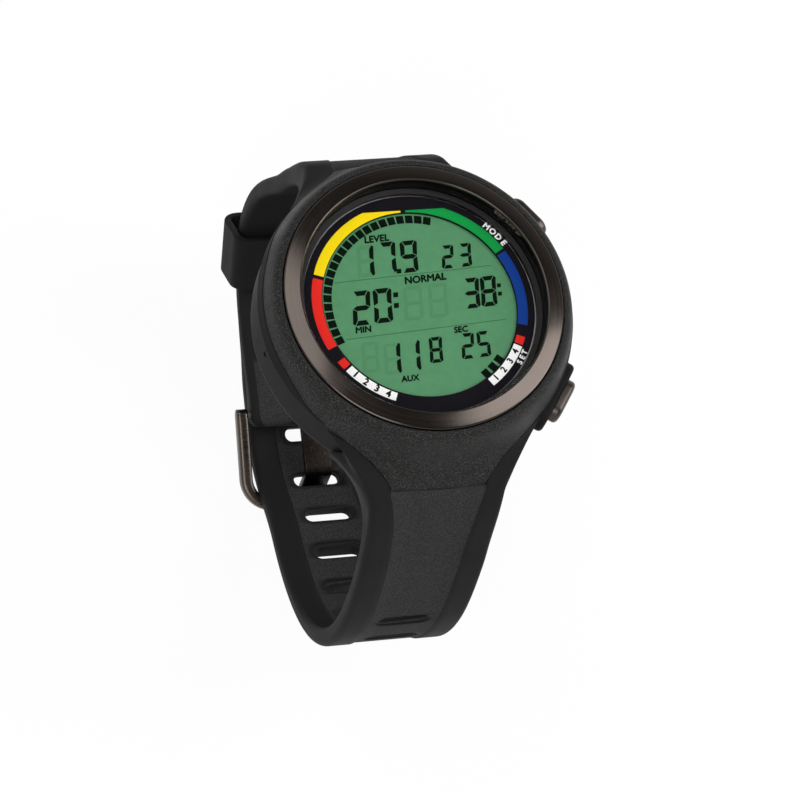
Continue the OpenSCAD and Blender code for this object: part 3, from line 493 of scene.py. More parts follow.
def headings(route: Sequence[Point], closed: bool = False) -> list[tuple[Point, Vector]]:
    """Pairs each point of a route with the way that the route takes there.

    Args:
        route: The points.
        closed: Whether the last point leads on to the first.

    Returns:
        Each point, with a unit vector.
    """
    count = len(route)
    found = []
    for i, spot in enumerate(route):
        before = route[i - 1 if closed else max(0, i - 1)]
        after = route[(i + 1) % count if closed else min(count - 1, i + 1)]
        found.append((spot, (Vector(after) - Vector(before)).normalized()))
    return found


def loft(rings: Sequence[Sequence[Vector]], closed: bool = False) -> Mesh:
    """Joins closed rings of equal count into a tube.

    Args:
        rings: The rings, in order along the tube.
        closed: Whether the last ring joins the first. If not, both ends are capped.

    Returns:
        The tube's points and faces.
    """
    count, total = len(rings[0]), len(rings)
    points = [p for ring in rings for p in ring]
    faces: list[tuple[int, ...]] = []
    for i in range(total if closed else total - 1):
        a, b = i * count, (i + 1) % total * count
        faces += [(a + j, a + (j + 1) % count, b + (j + 1) % count, b + j) for j in range(count)]
    if not closed:
        faces += [tuple(range(count)), tuple(range((total - 1) * count, total * count))]
    return points, faces


def lathe(outline: Sequence[Point], steps: int = 240) -> Mesh:
    """Turns a closed outline of radius and height about Z."""
    return loft([[Vector((*polar(r, a), z)) for r, z in outline] for a in circle(steps)], closed=True)


def prisms(outlines: Sequence[Sequence[Point]], low: float, high: float) -> Mesh:
    """Raises flat closed outlines into thin plates between two heights."""
    return joined(*(loft([[Vector((*p, z)) for p in outline] for z in (low, high)]) for outline in outlines))


def joined(*meshes: Mesh) -> Mesh:
    """Puts several meshes into one.

    Args:
        meshes: The meshes to put together.

    Returns:
        All their points and faces.
    """
    points: list[Vector] = []
    faces: list[tuple[int, ...]] = []
    for more_points, more_faces in meshes:
        faces += [tuple(k + len(points) for k in face) for face in more_faces]
        points += more_points
    return points, faces


def linked(name: str, data: bpy.types.ID) -> bpy.types.Object:
    """Makes an object and links it into the scene.

    Args:
        name: The object's name.
        data: Its mesh, curve, lamp or camera.

    Returns:
        The object.
    """
    made = bpy.data.objects.new(name, data)
    bpy.context.scene.collection.objects.link(made)
    return made


def make_object(name: str, mesh: Mesh, finish: AnyFinish, sharp: float = 35) -> bpy.types.Object:
    """Makes a closed mesh object at the origin, with its faces turned outwards.

    Args:
        name: The object's name.
        mesh: Its points, in millimetres, and faces. A fourth coordinate marks the strap's panels.
        finish: Its finish.
        sharp: Angle between faces, in degrees, past which an edge shows sharp.

    Returns:
        The object.
    """
    data = bpy.data.meshes.new(name)
    data.from_pydata([p.xyz * MM for p in mesh[0]], [], mesh[1])
    if len(mesh[0][0]) == 4:
        data.attributes.new(PANEL_MARK, "FLOAT", "POINT").data.foreach_set("value", [p.w for p in mesh[0]])
    work = bmesh.new()
    work.from_mesh(data)
    bmesh.ops.remove_doubles(work, verts=work.verts, dist=MERGE_M)
    bmesh.ops.dissolve_degenerate(work, edges=work.edges, dist=MERGE_M)
    bmesh.ops.recalc_face_normals(work, faces=work.faces)
    work.to_mesh(data)
    work.free()
    return dress(linked(name, data), finish, sharp)


def dress(made: bpy.types.Object, finish: AnyFinish, sharp: float = 35) -> bpy.types.Object:
    """Gives an object its finish and smooth shading.

    Args:
        made: The object.
        finish: Its finish.
        sharp: Angle between faces, in degrees, past which an edge shows sharp.

    Returns:
        The same object.
    """
    made.data.materials.clear()
    made.data.materials.append(material_of(finish))
    made.data.shade_smooth()
    made.data.set_sharp_from_angle(angle=math.radians(sharp))
    return made


def settle(made: bpy.types.Object, body: str, slot: str, *nodes: str) -> None:
    """Puts a piece on its body, hides the nodes that it stands for, and reports it.

    Args:
        made: The piece.
        body: The body that it moves with.
        slot: The record's material slot of its finish. It is not used.
        nodes: The nodes that it replaces.
    """
    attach(made, body)
    if nodes:
        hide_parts(*nodes)
    log.info("%s rides on %s with %d faces", made.name, body, len(made.data.polygons))


def applied(made: bpy.types.Object) -> bpy.types.Object:
    """Turns an object's modifiers into its plain mesh.

    Args:
        made: The object with live modifiers.

    Returns:
        The same object, with none.
    """
    shown = made.evaluated_get(bpy.context.evaluated_depsgraph_get())
    data = bpy.data.meshes.new_from_object(shown)
    made.modifiers.clear()
    made.data = data
    return made


@dataclass(frozen=True)
class CaseSizes:
    """Sizes of the case that several sub-assemblies share."""

    case_r: float = 26.2
    cover_r: float = 26.5
    split_z: float = 10.0
    tongue_r: float = 29.3
    tongue_end_z: float = 4.45
    tongue_half_w: float = 8.04
    tongue_flare: float = 1.5
    tongue_shoulder: float = 1.8
    tongue_root_half_w: float = 17.5
    tongue_t: float = 1.2
    tongue_bends: Pair = (0.5, 0.8)
    flat_from: float = 0.4
    flat_drop: float = 6.0
    flat_gap: float = 0.7
    flat_run: float = 2.0
    dial_z: float = 13.0
    display_z: float = 12.5
    button_angle: float = 36.0
    button_z: float = 6.9

    @property
    def cone_slope(self) -> float:
        """Growth of the tongue's radius for each millimetre of drop."""
        return (self.tongue_r - self.cover_r) / (self.split_z - self.tongue_end_z)

    def cone_r(self, z: float) -> float:
        """Radius of the tongue's outer face at a height."""
        return self.cover_r + (self.split_z - z) * self.cone_slope

    def depth_at(self, x: float, r: float, z: float, upper: bool) -> float:
        """Distance towards a strap half, on a face that flattens as it leaves the case.

        Args:
            x: Place across the strap.
            r: Radius of the face in the middle of the strap.
            z: Height.
            upper: Whether the half is the one at 12 o'clock.

        Returns:
            The distance from the case's middle.
        """
        drop = ease((self.split_z - self.flat_from - z) / self.flat_drop)
        flat = drop * ease((r - self.case_r - self.flat_gap) / self.flat_run)
        return math.sqrt(max(0.0, r * r - (mix(1.0, self.tongue_bends[upper], flat) * x) ** 2))

    def tongue_side(self, u: float) -> Point:
        """Point on the tongue's side edge.

        Args:
            u: The share of the way from the tongue's end to its root.

        Returns:
            Half width and height.
        """
        half, tall = self.tongue_half_w + self.tongue_flare, self.split_z - self.tongue_shoulder
        wide = mix(mix(self.tongue_half_w, half, u), mix(half, self.tongue_root_half_w, u), u)
        return wide, mix(mix(self.tongue_end_z, tall, u), mix(tall, self.split_z, u), u)

    def tongue_half_at(self, z: float) -> float:
        """Half width of the tongue at a height."""
        return self.tongue_side(last_true(lambda u: self.tongue_side(u)[1] < z))[0]

    def cover_edge_z(self, turn: float) -> float:
        """Height of the cover's lower edge.

        Args:
            turn: The angle from 12 or 6 o'clock, in radians.

        Returns:
            The height.
        """
        side = math.sin(abs(turn))
        if side * self.tongue_r <= self.tongue_half_w:
            return self.tongue_end_z

        def under(u: float) -> bool:
            """Whether the tongue's edge at a share lies nearer its middle than this angle does."""
            half, z = self.tongue_side(u)
            return half < self.cone_r(z) * side

        return self.tongue_side(last_true(under))[1]


CASE = CaseSizes()


@dataclass(frozen=True)
class Cover:
    """Grained upper cover with a rounded shoulder round the bezel and a tongue down to each strap half."""

    bore_r: float = 22.0
    recess_r: float = 23.6
    spigot_r: float = 23.9
    spigot_l: float = 0.5
    seat_z: float = 13.3
    top_z: float = 16.0
    lip: float = 0.2
    lip_round: float = 0.06
    shoulder: tuple[Point, ...] = ((24.0, 16.0), (25.3, 16.0), (25.7, 13.5), (26.5, 10.0))
    shoulder_steps: int = 18
    edge_steps: int = 14
    edge_round: float = 0.22
    edge_run: float = 1.2
    edge_taper: float = 0.04
    foot_gap: float = 0.03
    least: float = 0.01
    fit: float = 0.05
    columns_deg: Pair = (0.5, 1.5)
    tongue_deg: float = 43.0

    def shoulder_at(self, t: float) -> Vector:
        """Point on the shoulder, as radius and height, from the bezel at 0 to the split at 1."""
        return bezier(self.shoulder, t)

    def columns(self) -> list[float]:
        """Angles round the case.

        Returns:
            The angles in radians, closer together along the tongues.
        """
        turns: list[float] = []
        a = 0.0
        while a < 360:
            turns.append(math.radians(a))
            a += self.columns_deg[min(abs(a - 90), abs(a - 270)) >= self.tongue_deg]
        return turns

    def outline(self, a: float) -> list[Point]:
        """Closed outline of the cover at an angle.

        Args:
            a: The angle from 3 o'clock, in radians.

        Returns:
            The points, as radius and height.
        """
        split_z, foot_r = CASE.split_z, CASE.case_r + self.fit
        edge_z = CASE.cover_edge_z(a % math.pi - math.pi / 2)
        drop = ease((split_z - edge_z) / self.edge_run)
        points: list[Point] = [
            (self.bore_r, split_z - self.spigot_l), (self.bore_r, self.seat_z), (self.recess_r, self.seat_z),
            (self.recess_r, self.top_z - self.lip),
            (self.recess_r + self.lip_round, self.top_z - self.lip_round),
            (self.recess_r + self.lip, self.top_z),
        ]
        points += [tuple(self.shoulder_at(k / self.shoulder_steps)) for k in range(self.shoulder_steps)]
        along = Vector((CASE.cone_slope, -1)).normalized()
        inward = Vector((along.y, -along.x))
        last = Vector((CASE.cone_r(edge_z), edge_z))
        for k in range(self.edge_steps + 1):
            z = mix(split_z, edge_z + self.edge_round * drop, k / self.edge_steps)
            points.append((CASE.cone_r(z), z))
        for k in (1, 2, 3):
            soft = last + (inward * (k / 3) ** 2 - along * (1 - k / 3) ** 2) * self.edge_round
            points.append(tuple(Vector((CASE.cover_r - self.edge_taper * k, split_z)).lerp(soft, drop)))
        under = Vector((foot_r + self.foot_gap, split_z)).lerp(last + inward * CASE.tongue_t, drop)
        under.x = max(under.x, foot_r + self.least)
        rise = under.y + (under.x - foot_r) / CASE.cone_slope
        return points + [
            tuple(under), (foot_r, min(split_z - self.least, rise)), (foot_r, split_z),
            (self.spigot_r, split_z), (self.spigot_r, split_z - self.spigot_l),
        ]

    @staticmethod
    def place(r: float, z: float, a: float) -> Vector:
        """Point of the outline at an angle, on the flattened tongues where it is below the split.

        Args:
            r: Radius of the point.
            z: Its height.
            a: The angle from 3 o'clock, in radians.

        Returns:
            The point in space.
        """
        x, y = polar(r, a)
        if z < CASE.split_z - CASE.flat_from:
            y = math.copysign(CASE.depth_at(x, r, z, y > 0), y)
        return Vector((x, y, z))

    def build(self) -> None:
        """Builds the cover over its node."""
        rings = [[self.place(r, z, a) for r, z in self.outline(a)] for a in self.columns()]
        made = make_object("cover_grained", loft(rings, closed=True), COVER_NYLON, sharp=50)
        settle(made, "case", "cover_plastic", "upper_case")


@dataclass(frozen=True)
class ShellBand:
    """Smooth upper rim of the shell on one side of the case, which meets the grained cover in a fine seam."""

    side: int
    lowest: float = 0.12
    rise: float = 2.0
    clear: float = 45.0
    run: float = 25.0
    proud: float = 0.1
    sunk: float = 0.35
    seam_sunk: float = 0.05
    seam_round: float = 0.16
    steps: int = 10
    crowd: float = 1.5
    probe: float = 0.01

    def outline(self, turn: float) -> list[Point]:
        """Closed outline of the band.

        Args:
            turn: The angle from 12 o'clock, from 0 to 180 degrees.

        Returns:
            The points, as radius and height.
        """
        cover = Cover()
        near = min(turn, 180 - turn)
        seam_z = CASE.split_z + self.lowest + self.rise * ease((near - self.clear) / self.run)
        first = last_true(lambda t: cover.shoulder_at(t).y > seam_z)
        outer: list[Point] = []
        inner: list[Point] = []
        for k in range(self.steps + 1):
            t = mix(first, 1.0, (k / self.steps) ** self.crowd)
            here = cover.shoulder_at(t)
            along = (cover.shoulder_at(t - self.probe) - here).normalized()
            out = Vector((along.y, -along.x))
            edge = min(1.0, (cover.shoulder_at(first) - here).length / self.seam_round)
            lift = mix(-self.seam_sunk, self.proud, math.sqrt(1 - (1 - edge) ** 2))
            outer.append(tuple(here + out * lift))
            inner.append(tuple(here - out * self.sunk))
        return outer + inner[::-1]

    def build(self) -> None:
        """Builds the band between the two tongues."""
        rings = []
        for k in range(int(180 - 2 * self.clear) + 1):
            y, x = polar(1, math.radians(self.clear + k))
            rings.append([Vector((self.side * r * x, r * y, z)) for r, z in self.outline(self.clear + k)])
        name = "shell_band_right" if self.side > 0 else "shell_band_left"
        settle(make_object(name, loft(rings), SHELL_PLASTIC), "case", "shell_plastic")


@dataclass(frozen=True)
class BezelAndCrystal:
    """Turned steel bezel with softened edges, and the flat crystal inside it."""

    neck_r: float = 21.9
    bore_r: float = 19.6
    wall_r: float = 20.6
    outer_r: float = 23.5
    lip_r: float = 20.8
    shelf_z: float = 12.7
    seat_z: float = 13.3
    edge_z: float = 16.2
    lip_z: float = 16.9
    lip_drop: float = 0.35
    softened: Triple = (0.32, 0.22, 0.12)
    crystal_r: float = 20.45
    crystal_low_z: float = 13.75
    crystal_top_z: float = 15.9
    crystal_rounds: Pair = (0.1, 0.2)

    def build(self) -> None:
        """Builds both pieces over their nodes."""
        edge, lip, wall = self.softened
        bezel = rounded([
            (self.bore_r, self.shelf_z, 0), (self.neck_r, self.shelf_z, 0), (self.neck_r, self.seat_z, 0),
            (self.outer_r, self.seat_z, 0), (self.outer_r, self.edge_z, edge), (self.lip_r, self.lip_z, lip),
            (self.wall_r, self.lip_z - self.lip_drop, wall), (self.wall_r, self.seat_z, 0),
            (self.bore_r, self.seat_z, 0),
        ], steps=6)
        settle(make_object("bezel_ring", lathe(bezel, 288), BEZEL_STEEL), "case", "gunmetal", "bezel")
        low, high = self.crystal_rounds
        lens = rounded([
            (0, self.crystal_low_z, 0), (self.crystal_r, self.crystal_low_z, low),
            (self.crystal_r, self.crystal_top_z, high), (0, self.crystal_top_z, 0),
        ])
        settle(make_object("crystal_lens", lathe(lens), ClearCrystal()), "case", "crystal_glass", "crystal")


class Segment(Enum):
    """Bars of a display digit, from the top round to the middle one."""

    TOP = "a"
    UPPER_RIGHT = "b"
    LOWER_RIGHT = "c"
    BOTTOM = "d"
    LOWER_LEFT = "e"
    UPPER_LEFT = "f"
    MIDDLE = "g"


LIT: dict[str, str] = {
    "0": "abcdef", "1": "bc", "2": "abged", "3": "abgcd", "4": "fgbc", "5": "afgcd",
    "6": "afgedc", "7": "abc", "8": "abcdefg", "9": "abfgcd",
}


@dataclass(frozen=True)
class DigitRow:
    """A number on the display: the middle of each digit's cell, and the cell's size."""

    digits: str
    cells: tuple[Point, ...]
    height: float
    width: float
    stroke: float


@dataclass(frozen=True)
class Dial:
    """Printed dial and display: colour bands, scale blocks, numbers and rules, in the dial's own plane."""

    ring: Pair = (16.5, 18.2)
    label: Pair = (16.7, 18.15)
    chord_y: float = 16.83
    tilt: float = 2.9
    slant: float = 9.0
    sunk: float = 0.005
    print_t: float = 0.03
    mark_t: float = 0.02
    digit_lift: float = 0.01
    rule_lift: float = 0.005
    rule_w: float = 0.11
    bar_gap: float = 0.12
    bar_cuts: Triple = (0.35, 0.45, 0.55)
    rows: tuple[DigitRow, ...] = (
        DigitRow("179", ((-7.75, 8.4), (-3.95, 8.75), (-0.25, 8.75)), 5.65, 3.0, 0.8),
        DigitRow("23", ((6.3, 8.25), (9.35, 8.4)), 4.15, 2.2, 0.62),
        DigitRow("20", ((-9.85, 0.15), (-6.2, 0.35)), 6.05, 3.25, 0.86),
        DigitRow("38", ((9.2, 1.5), (12.15, 1.65)), 5.35, 2.8, 0.76),
        DigitRow("11", ((-6.2, -9.1), (-2.85, -8.85)), 5.5, 2.9, 0.76),
        DigitRow("8", ((1.35, -8.1),), 4.5, 2.3, 0.62),
        DigitRow("25", ((6.85, -7.8), (9.6, -7.65)), 4.5, 2.3, 0.62),
    )
    ghosts: tuple[DigitRow, ...] = (
        DigitRow("88", ((-1.0, 0.4), (3.3, 0.6)), 6.0, 3.3, 0.62),
        DigitRow("8", ((-7.75, 8.4),), 5.65, 2.9, 0.66),
        DigitRow("88", ((-9.85, -8.6), (-6.2, -9.1)), 5.4, 2.9, 0.6),
    )
    dots: tuple[Triple, ...] = (
        (-2.42, 6.25, 0.8), (-3.72, 2.1, 0.86), (-3.92, 0.2, 0.86), (14.1, 2.55, 0.68), (14.0, 1.05, 0.68),
    )
    rules: tuple[tuple[Point, Point], ...] = (((-13.7, 4.9), (13.3, 6.2)), ((-13.4, -5.2), (14.2, -3.56)))

    def sector(self, start: float, end: float, radii: Pair) -> list[Point]:
        """Outline of a band between two angles, cut off at the dial's chord.

        Args:
            start: First angle from 3 o'clock, in degrees.
            end: Last angle.
            radii: Inner and outer radius.

        Returns:
            The closed outline.
        """
        steps = max(4, int(abs(end - start) / 1.2))
        turns = [math.radians(mix(start, end, k / steps)) for k in range(steps + 1)]
        far = [(x, min(self.chord_y, y)) for x, y in (polar(radii[1], a) for a in turns)]
        return far + [polar(radii[0], a) for a in reversed(turns)]

    def chord_sector(self, start: float, end: float) -> list[Point]:
        """Outline of a colour band whose end runs along the chord to the top of the dial.

        Args:
            start: Angle of its free end, in degrees.
            end: Angle of its tip near 12 o'clock.

        Returns:
            The closed outline.
        """
        inner, outer = self.ring
        cut = math.degrees(math.asin(self.chord_y / outer))
        corner = cut if start < 90 else 180 - cut
        far = [polar(outer, math.radians(mix(start, corner, k / 24))) for k in range(25)]
        far.append((inner * math.cos(math.radians(end)), self.chord_y))
        return far + [polar(inner, math.radians(mix(end, start, k / 48))) for k in range(49)]

    def leaning(self, outline: Sequence[Point], middle: Point) -> list[Point]:
        """Slants and tilts an outline as the digits are, and sets it about its middle."""
        turn, lean = Matrix.Rotation(math.radians(self.tilt), 2), math.tan(math.radians(self.slant))
        return [tuple(turn @ Vector((x + y * lean, y)) + Vector(middle)) for x, y in outline]

    def bars(self, row: DigitRow) -> list[list[Point]]:
        """Outlines of a number's lit bars.

        Args:
            row: The number.

        Returns:
            One outline for each bar.
        """
        h, w, t = row.height / 2, row.width / 2, row.stroke
        g = t * self.bar_gap
        down, across, end = (t * share for share in self.bar_cuts)
        side = [(w, h - g - down), (w - across, h - g), (w - t, h - t - g), (w - t, t / 2 + g), (w - g, g)]
        top = [(-w + end, h), (w - end, h), (w - t - g, h - t), (-w + t + g, h - t)]
        upper = [(-w + g * 2, 0), (-w + t, t / 2), (w - t, t / 2)]
        middle = upper + [(-x, -y) for x, y in upper]
        shapes: dict[Segment, list[Point]] = {
            Segment.TOP: top,
            Segment.UPPER_RIGHT: side,
            Segment.LOWER_RIGHT: [(x, -y) for x, y in side],
            Segment.BOTTOM: [(x, -y) for x, y in top],
            Segment.LOWER_LEFT: [(-x, -y) for x, y in side],
            Segment.UPPER_LEFT: [(-x, y) for x, y in side],
            Segment.MIDDLE: middle,
        }
        return [
            self.leaning(shape, cell) for digit, cell in zip(row.digits, row.cells)
            for segment, shape in shapes.items() if segment.value in LIT[digit]
        ]

    def dot(self, x: float, y: float, size: float) -> list[Point]:
        """Outline of a small square that leans with the digits."""
        return self.leaning([p[:2] for p in rectangle(size / 2, -size / 2, size / 2, 0, 0)], (x, y))

    def rule(self, start: Point, end: Point) -> list[Point]:
        """Outline of a thin straight line.

        Args:
            start: The line's first end.
            end: Its other end.

        Returns:
            The closed outline.
        """
        a, b = Vector(start), Vector(end)
        across = Vector((a.y - b.y, b.x - a.x)).normalized() * (self.rule_w / 2)
        return [tuple(p) for p in (a - across, b - across, b + across, a + across)]

    def build(self) -> None:
        """Builds the prints, the numbers, the scale blocks and the small words."""
        ring, label = self.ring, self.label
        prints = (
            ("band_yellow", YELLOW_INK, [self.chord_sector(159.2, 91.6)]),
            ("band_green", GREEN_INK, [self.chord_sector(29.3, 88.6)]),
            ("band_blue", BLUE_INK, [self.sector(-16.4, 27.7, ring)]),
            ("band_red", RED_INK, [
                self.sector(161.3, 202.7, ring), self.sector(210.6, 215.6, label),
                self.sector(-28.2, -23.3, label),
            ]),
            ("label_plates", WHITE_INK, [self.sector(217.0, 246.9, label), self.sector(-57.3, -29.2, label)]),
        )
        for name, ink, outlines in prints:
            mesh = prisms(outlines, CASE.dial_z - self.sunk, CASE.dial_z + self.print_t)
            settle(make_object(name, mesh, ink), "case", "dial_print")
        digits = [bar for row in self.rows for bar in self.bars(row)] + [self.dot(*dot) for dot in self.dots]
        low = CASE.display_z - self.sunk
        marks = (
            ("ghost_segments", GHOST_INK, [bar for row in self.ghosts for bar in self.bars(row)], 0.0),
            ("digit_segments", SEGMENT_INK, digits, self.digit_lift),
            ("display_rules", LINE_INK, [self.rule(*ends) for ends in self.rules], self.rule_lift),
        )
        for name, ink, outlines, lift in marks:
            settle(make_object(name, prisms(outlines, low, low + self.mark_t + lift), ink), "case", "display")
        ScaleBlocks("scale_blocks_left", 23, 75.4, 5.67, 15.42).build()
        ScaleBlocks("scale_blocks_right", 3, -54.8, 6.3, 15.7).build()
        WordPrint().build()


@dataclass(frozen=True)
class ScaleBlocks:
    """A row of equal dark blocks along an arc of the display."""

    name: str
    count: int
    start: float
    step: float
    radius: float
    size: Triple = (1.38, 1.28, 0.03)
    sunk: float = 0.005

    def tree(self) -> tuple[bpy.types.NodeTree, dict[str, str]]:
        """Builds the node tree that sets blocks along an arc.

        Returns:
            The tree, and each input's identifier by its name.
        """
        tree = bpy.data.node_groups.new("blocks_along_arc", "GeometryNodeTree")
        kinds = {
            "Count": "Int", "Start": "Float", "Step": "Float", "Radius": "Float", "Height": "Float",
            "Size": "Vector", "Material": "Material",
        }
        sockets = {
            key: tree.interface.new_socket(name=key, in_out="INPUT", socket_type=f"NodeSocket{kind}")
            for key, kind in kinds.items()
        }
        tree.interface.new_socket(name="Blocks", in_out="OUTPUT", socket_type="NodeSocketGeometry")
        given = add_node(tree, "NodeGroupInput").outputs
        turn = add_node(tree, "ShaderNodeMath", {
            0: add_node(tree, "GeometryNodeInputIndex"), 1: given["Step"], 2: given["Start"],
        }, operation="MULTIPLY_ADD")
        x, y = (
            add_node(tree, "ShaderNodeMath", {
                0: add_node(tree, "ShaderNodeMath", {0: turn}, operation=wave), 1: given["Radius"],
            }, operation="MULTIPLY")
            for wave in ("COSINE", "SINE")
        )
        place = add_node(tree, "ShaderNodeCombineXYZ", {"X": x, "Y": y, "Z": given["Height"]})
        points = add_node(tree, "GeometryNodePoints", {"Count": given["Count"], "Position": place})
        laid = add_node(tree, "GeometryNodeInstanceOnPoints", {
            "Points": points, "Instance": add_node(tree, "GeometryNodeMeshCube", {"Size": given["Size"]}),
            "Rotation": add_node(tree, "ShaderNodeCombineXYZ", {"Z": turn}),
        })
        plain = add_node(tree, "GeometryNodeRealizeInstances", {0: laid})
        inked = add_node(tree, "GeometryNodeSetMaterial", {"Geometry": plain, "Material": given["Material"]})
        add_node(tree, "NodeGroupOutput", {0: inked})
        return tree, {key: socket.identifier for key, socket in sockets.items()}

    def build(self) -> None:
        """Builds the blocks on the display."""
        tree, names = self.tree()
        made = linked(self.name, bpy.data.meshes.new(self.name))
        blocks = made.modifiers.new("blocks", "NODES")
        blocks.node_group = tree
        values = {
            "Count": self.count, "Start": math.radians(self.start), "Step": math.radians(self.step),
            "Radius": self.radius * MM, "Height": (CASE.display_z + self.size[2] / 2 - self.sunk) * MM,
            "Size": [s * MM for s in self.size], "Material": material_of(SEGMENT_INK),
        }
        for key, value in values.items():
            blocks[names[key]] = value
        settle(dress(applied(made), SEGMENT_INK), "case", "display")


@dataclass(frozen=True)
class ArcWord:
    """Characters along an arc: their height, the arc's radius, and the angles of its middle and of a step."""

    text: str
    height: float
    radius: float
    middle: float
    spread: float
    outward: bool = False


@dataclass(frozen=True)
class WordPrint:
    """Small plain numbers and function words on the dial and the display."""

    thick: float = 0.012
    bold: float = 0.065
    plate_lift: float = 0.02
    copy_step: float = 0.0005
    capital_share: float = 0.69
    display_words: tuple[tuple[str, float, float, float], ...] = (
        ("LEVEL", 1.15, -5.2, 12.25), ("NORMAL", 1.2, 1.8, 4.6), ("MIN", 1.05, -10.2, -3.7),
        ("SEC", 1.0, 6.2, -4.85), ("AUX", 1.0, -3.85, -12.8),
    )
    plate_numbers: tuple[ArcWord, ...] = (
        ArcWord("1 2 3 4", 1.15, 17.42, 232, 3.4), ArcWord("1 2 3 4", 1.05, 17.42, -43.2, 3.3),
    )
    button_words: tuple[ArcWord, ...] = (
        ArcWord("MODE", 1.0, 18.92, 37.5, 4.0, True), ArcWord("SET", 0.9, 18.9, -34.5, 3.1),
    )

    def letters(self, text: str, height: float, place: Matrix) -> list[bpy.types.Mesh]:
        """Makes a word as a mesh, centred on its place.

        Args:
            text: The word.
            height: Height of a capital letter.
            place: Where the word's middle goes, in millimetres.

        Returns:
            Copies of the word a little apart, which make its strokes bold.
        """
        curve = bpy.data.curves.new("word", "FONT")
        curve.body = text
        curve.size = height / self.capital_share
        curve.align_x, curve.align_y = "CENTER", "CENTER"
        curve.extrude = self.thick
        curve.resolution_u = 3
        holder = linked("word", curve)
        shown = holder.evaluated_get(bpy.context.evaluated_depsgraph_get())
        made = []
        for k, (dx, dy) in enumerate(((0, 0), (1, 0), (-1, 0), (0, 1), (0, -1))):
            data = bpy.data.meshes.new_from_object(shown)
            shift = Vector((dx * self.bold * height, dy * self.bold * height, k * self.copy_step))
            data.transform(Matrix.Scale(MM, 4) @ place @ Matrix.Translation(shift))
            made.append(data)
        bpy.data.objects.remove(holder)
        return made

    def on_arc(self, word: ArcWord, z: float) -> list[bpy.types.Mesh]:
        """Sets single characters along an arc.

        Args:
            word: The characters and their arc.
            z: Height of the print.

        Returns:
            Their meshes.
        """
        made = []
        way = -1 if word.outward else 1
        for k, letter in enumerate(word.text):
            turn = word.middle + way * (k - (len(word.text) - 1) / 2) * word.spread
            spot = Matrix.Translation((*polar(word.radius, math.radians(turn)), z))
            if letter != " ":
                lean = Matrix.Rotation(math.radians(turn + way * 90), 4, "Z")
                made += self.letters(letter, word.height, spot @ lean)
        return made

    def at(self, text: str, height: float, x: float, y: float) -> list[bpy.types.Mesh]:
        """Sets a word on the display, leaning as the digits do.

        Args:
            text: The word.
            height: Height of a capital letter.
            x: Place of its middle towards 3 o'clock.
            y: Place of its middle towards 12 o'clock.

        Returns:
            Its meshes.
        """
        lean = Matrix.Identity(4)
        lean[0][1] = math.tan(math.radians(DIAL.slant))
        turn = Matrix.Rotation(math.radians(DIAL.tilt), 4, "Z")
        place = Matrix.Translation((x, y, CASE.display_z + self.thick))
        return self.letters(text, height, place @ turn @ lean)

    @staticmethod
    def gather(name: str, words: list[bpy.types.Mesh], finish: Finish, slot: str) -> None:
        """Joins words into one piece.

        Args:
            name: The piece's name.
            words: The words' meshes.
            finish: Their ink.
            slot: The record's material slot.
        """
        work = bmesh.new()
        for word in words:
            work.from_mesh(word)
            bpy.data.meshes.remove(word)
        bmesh.ops.remove_doubles(work, verts=work.verts, dist=MERGE_M)
        data = bpy.data.meshes.new(name)
        work.to_mesh(data)
        work.free()
        settle(dress(linked(name, data), finish), "case", slot)

    def build(self) -> None:
        """Builds the words in three pieces, by ink and by what they lie on."""
        ink_z = CASE.dial_z + self.thick
        shown = [mesh for word in self.display_words for mesh in self.at(*word)]
        self.gather("display_words", shown, SEGMENT_INK, "display")
        plates = [mesh for word in self.plate_numbers for mesh in self.on_arc(word, ink_z + self.plate_lift)]
        self.gather("label_numbers", plates, DIAL_INK, "dial_print")
        near = [mesh for word in self.button_words for mesh in self.on_arc(word, ink_z)]
        self.gather("button_words", near, WHITE_INK, "dial_print")


DIAL = Dial()


class Half(Enum):
    """Half of the strap, by the side of the case that it starts from."""

    TAIL = -1
    BUCKLE = 1


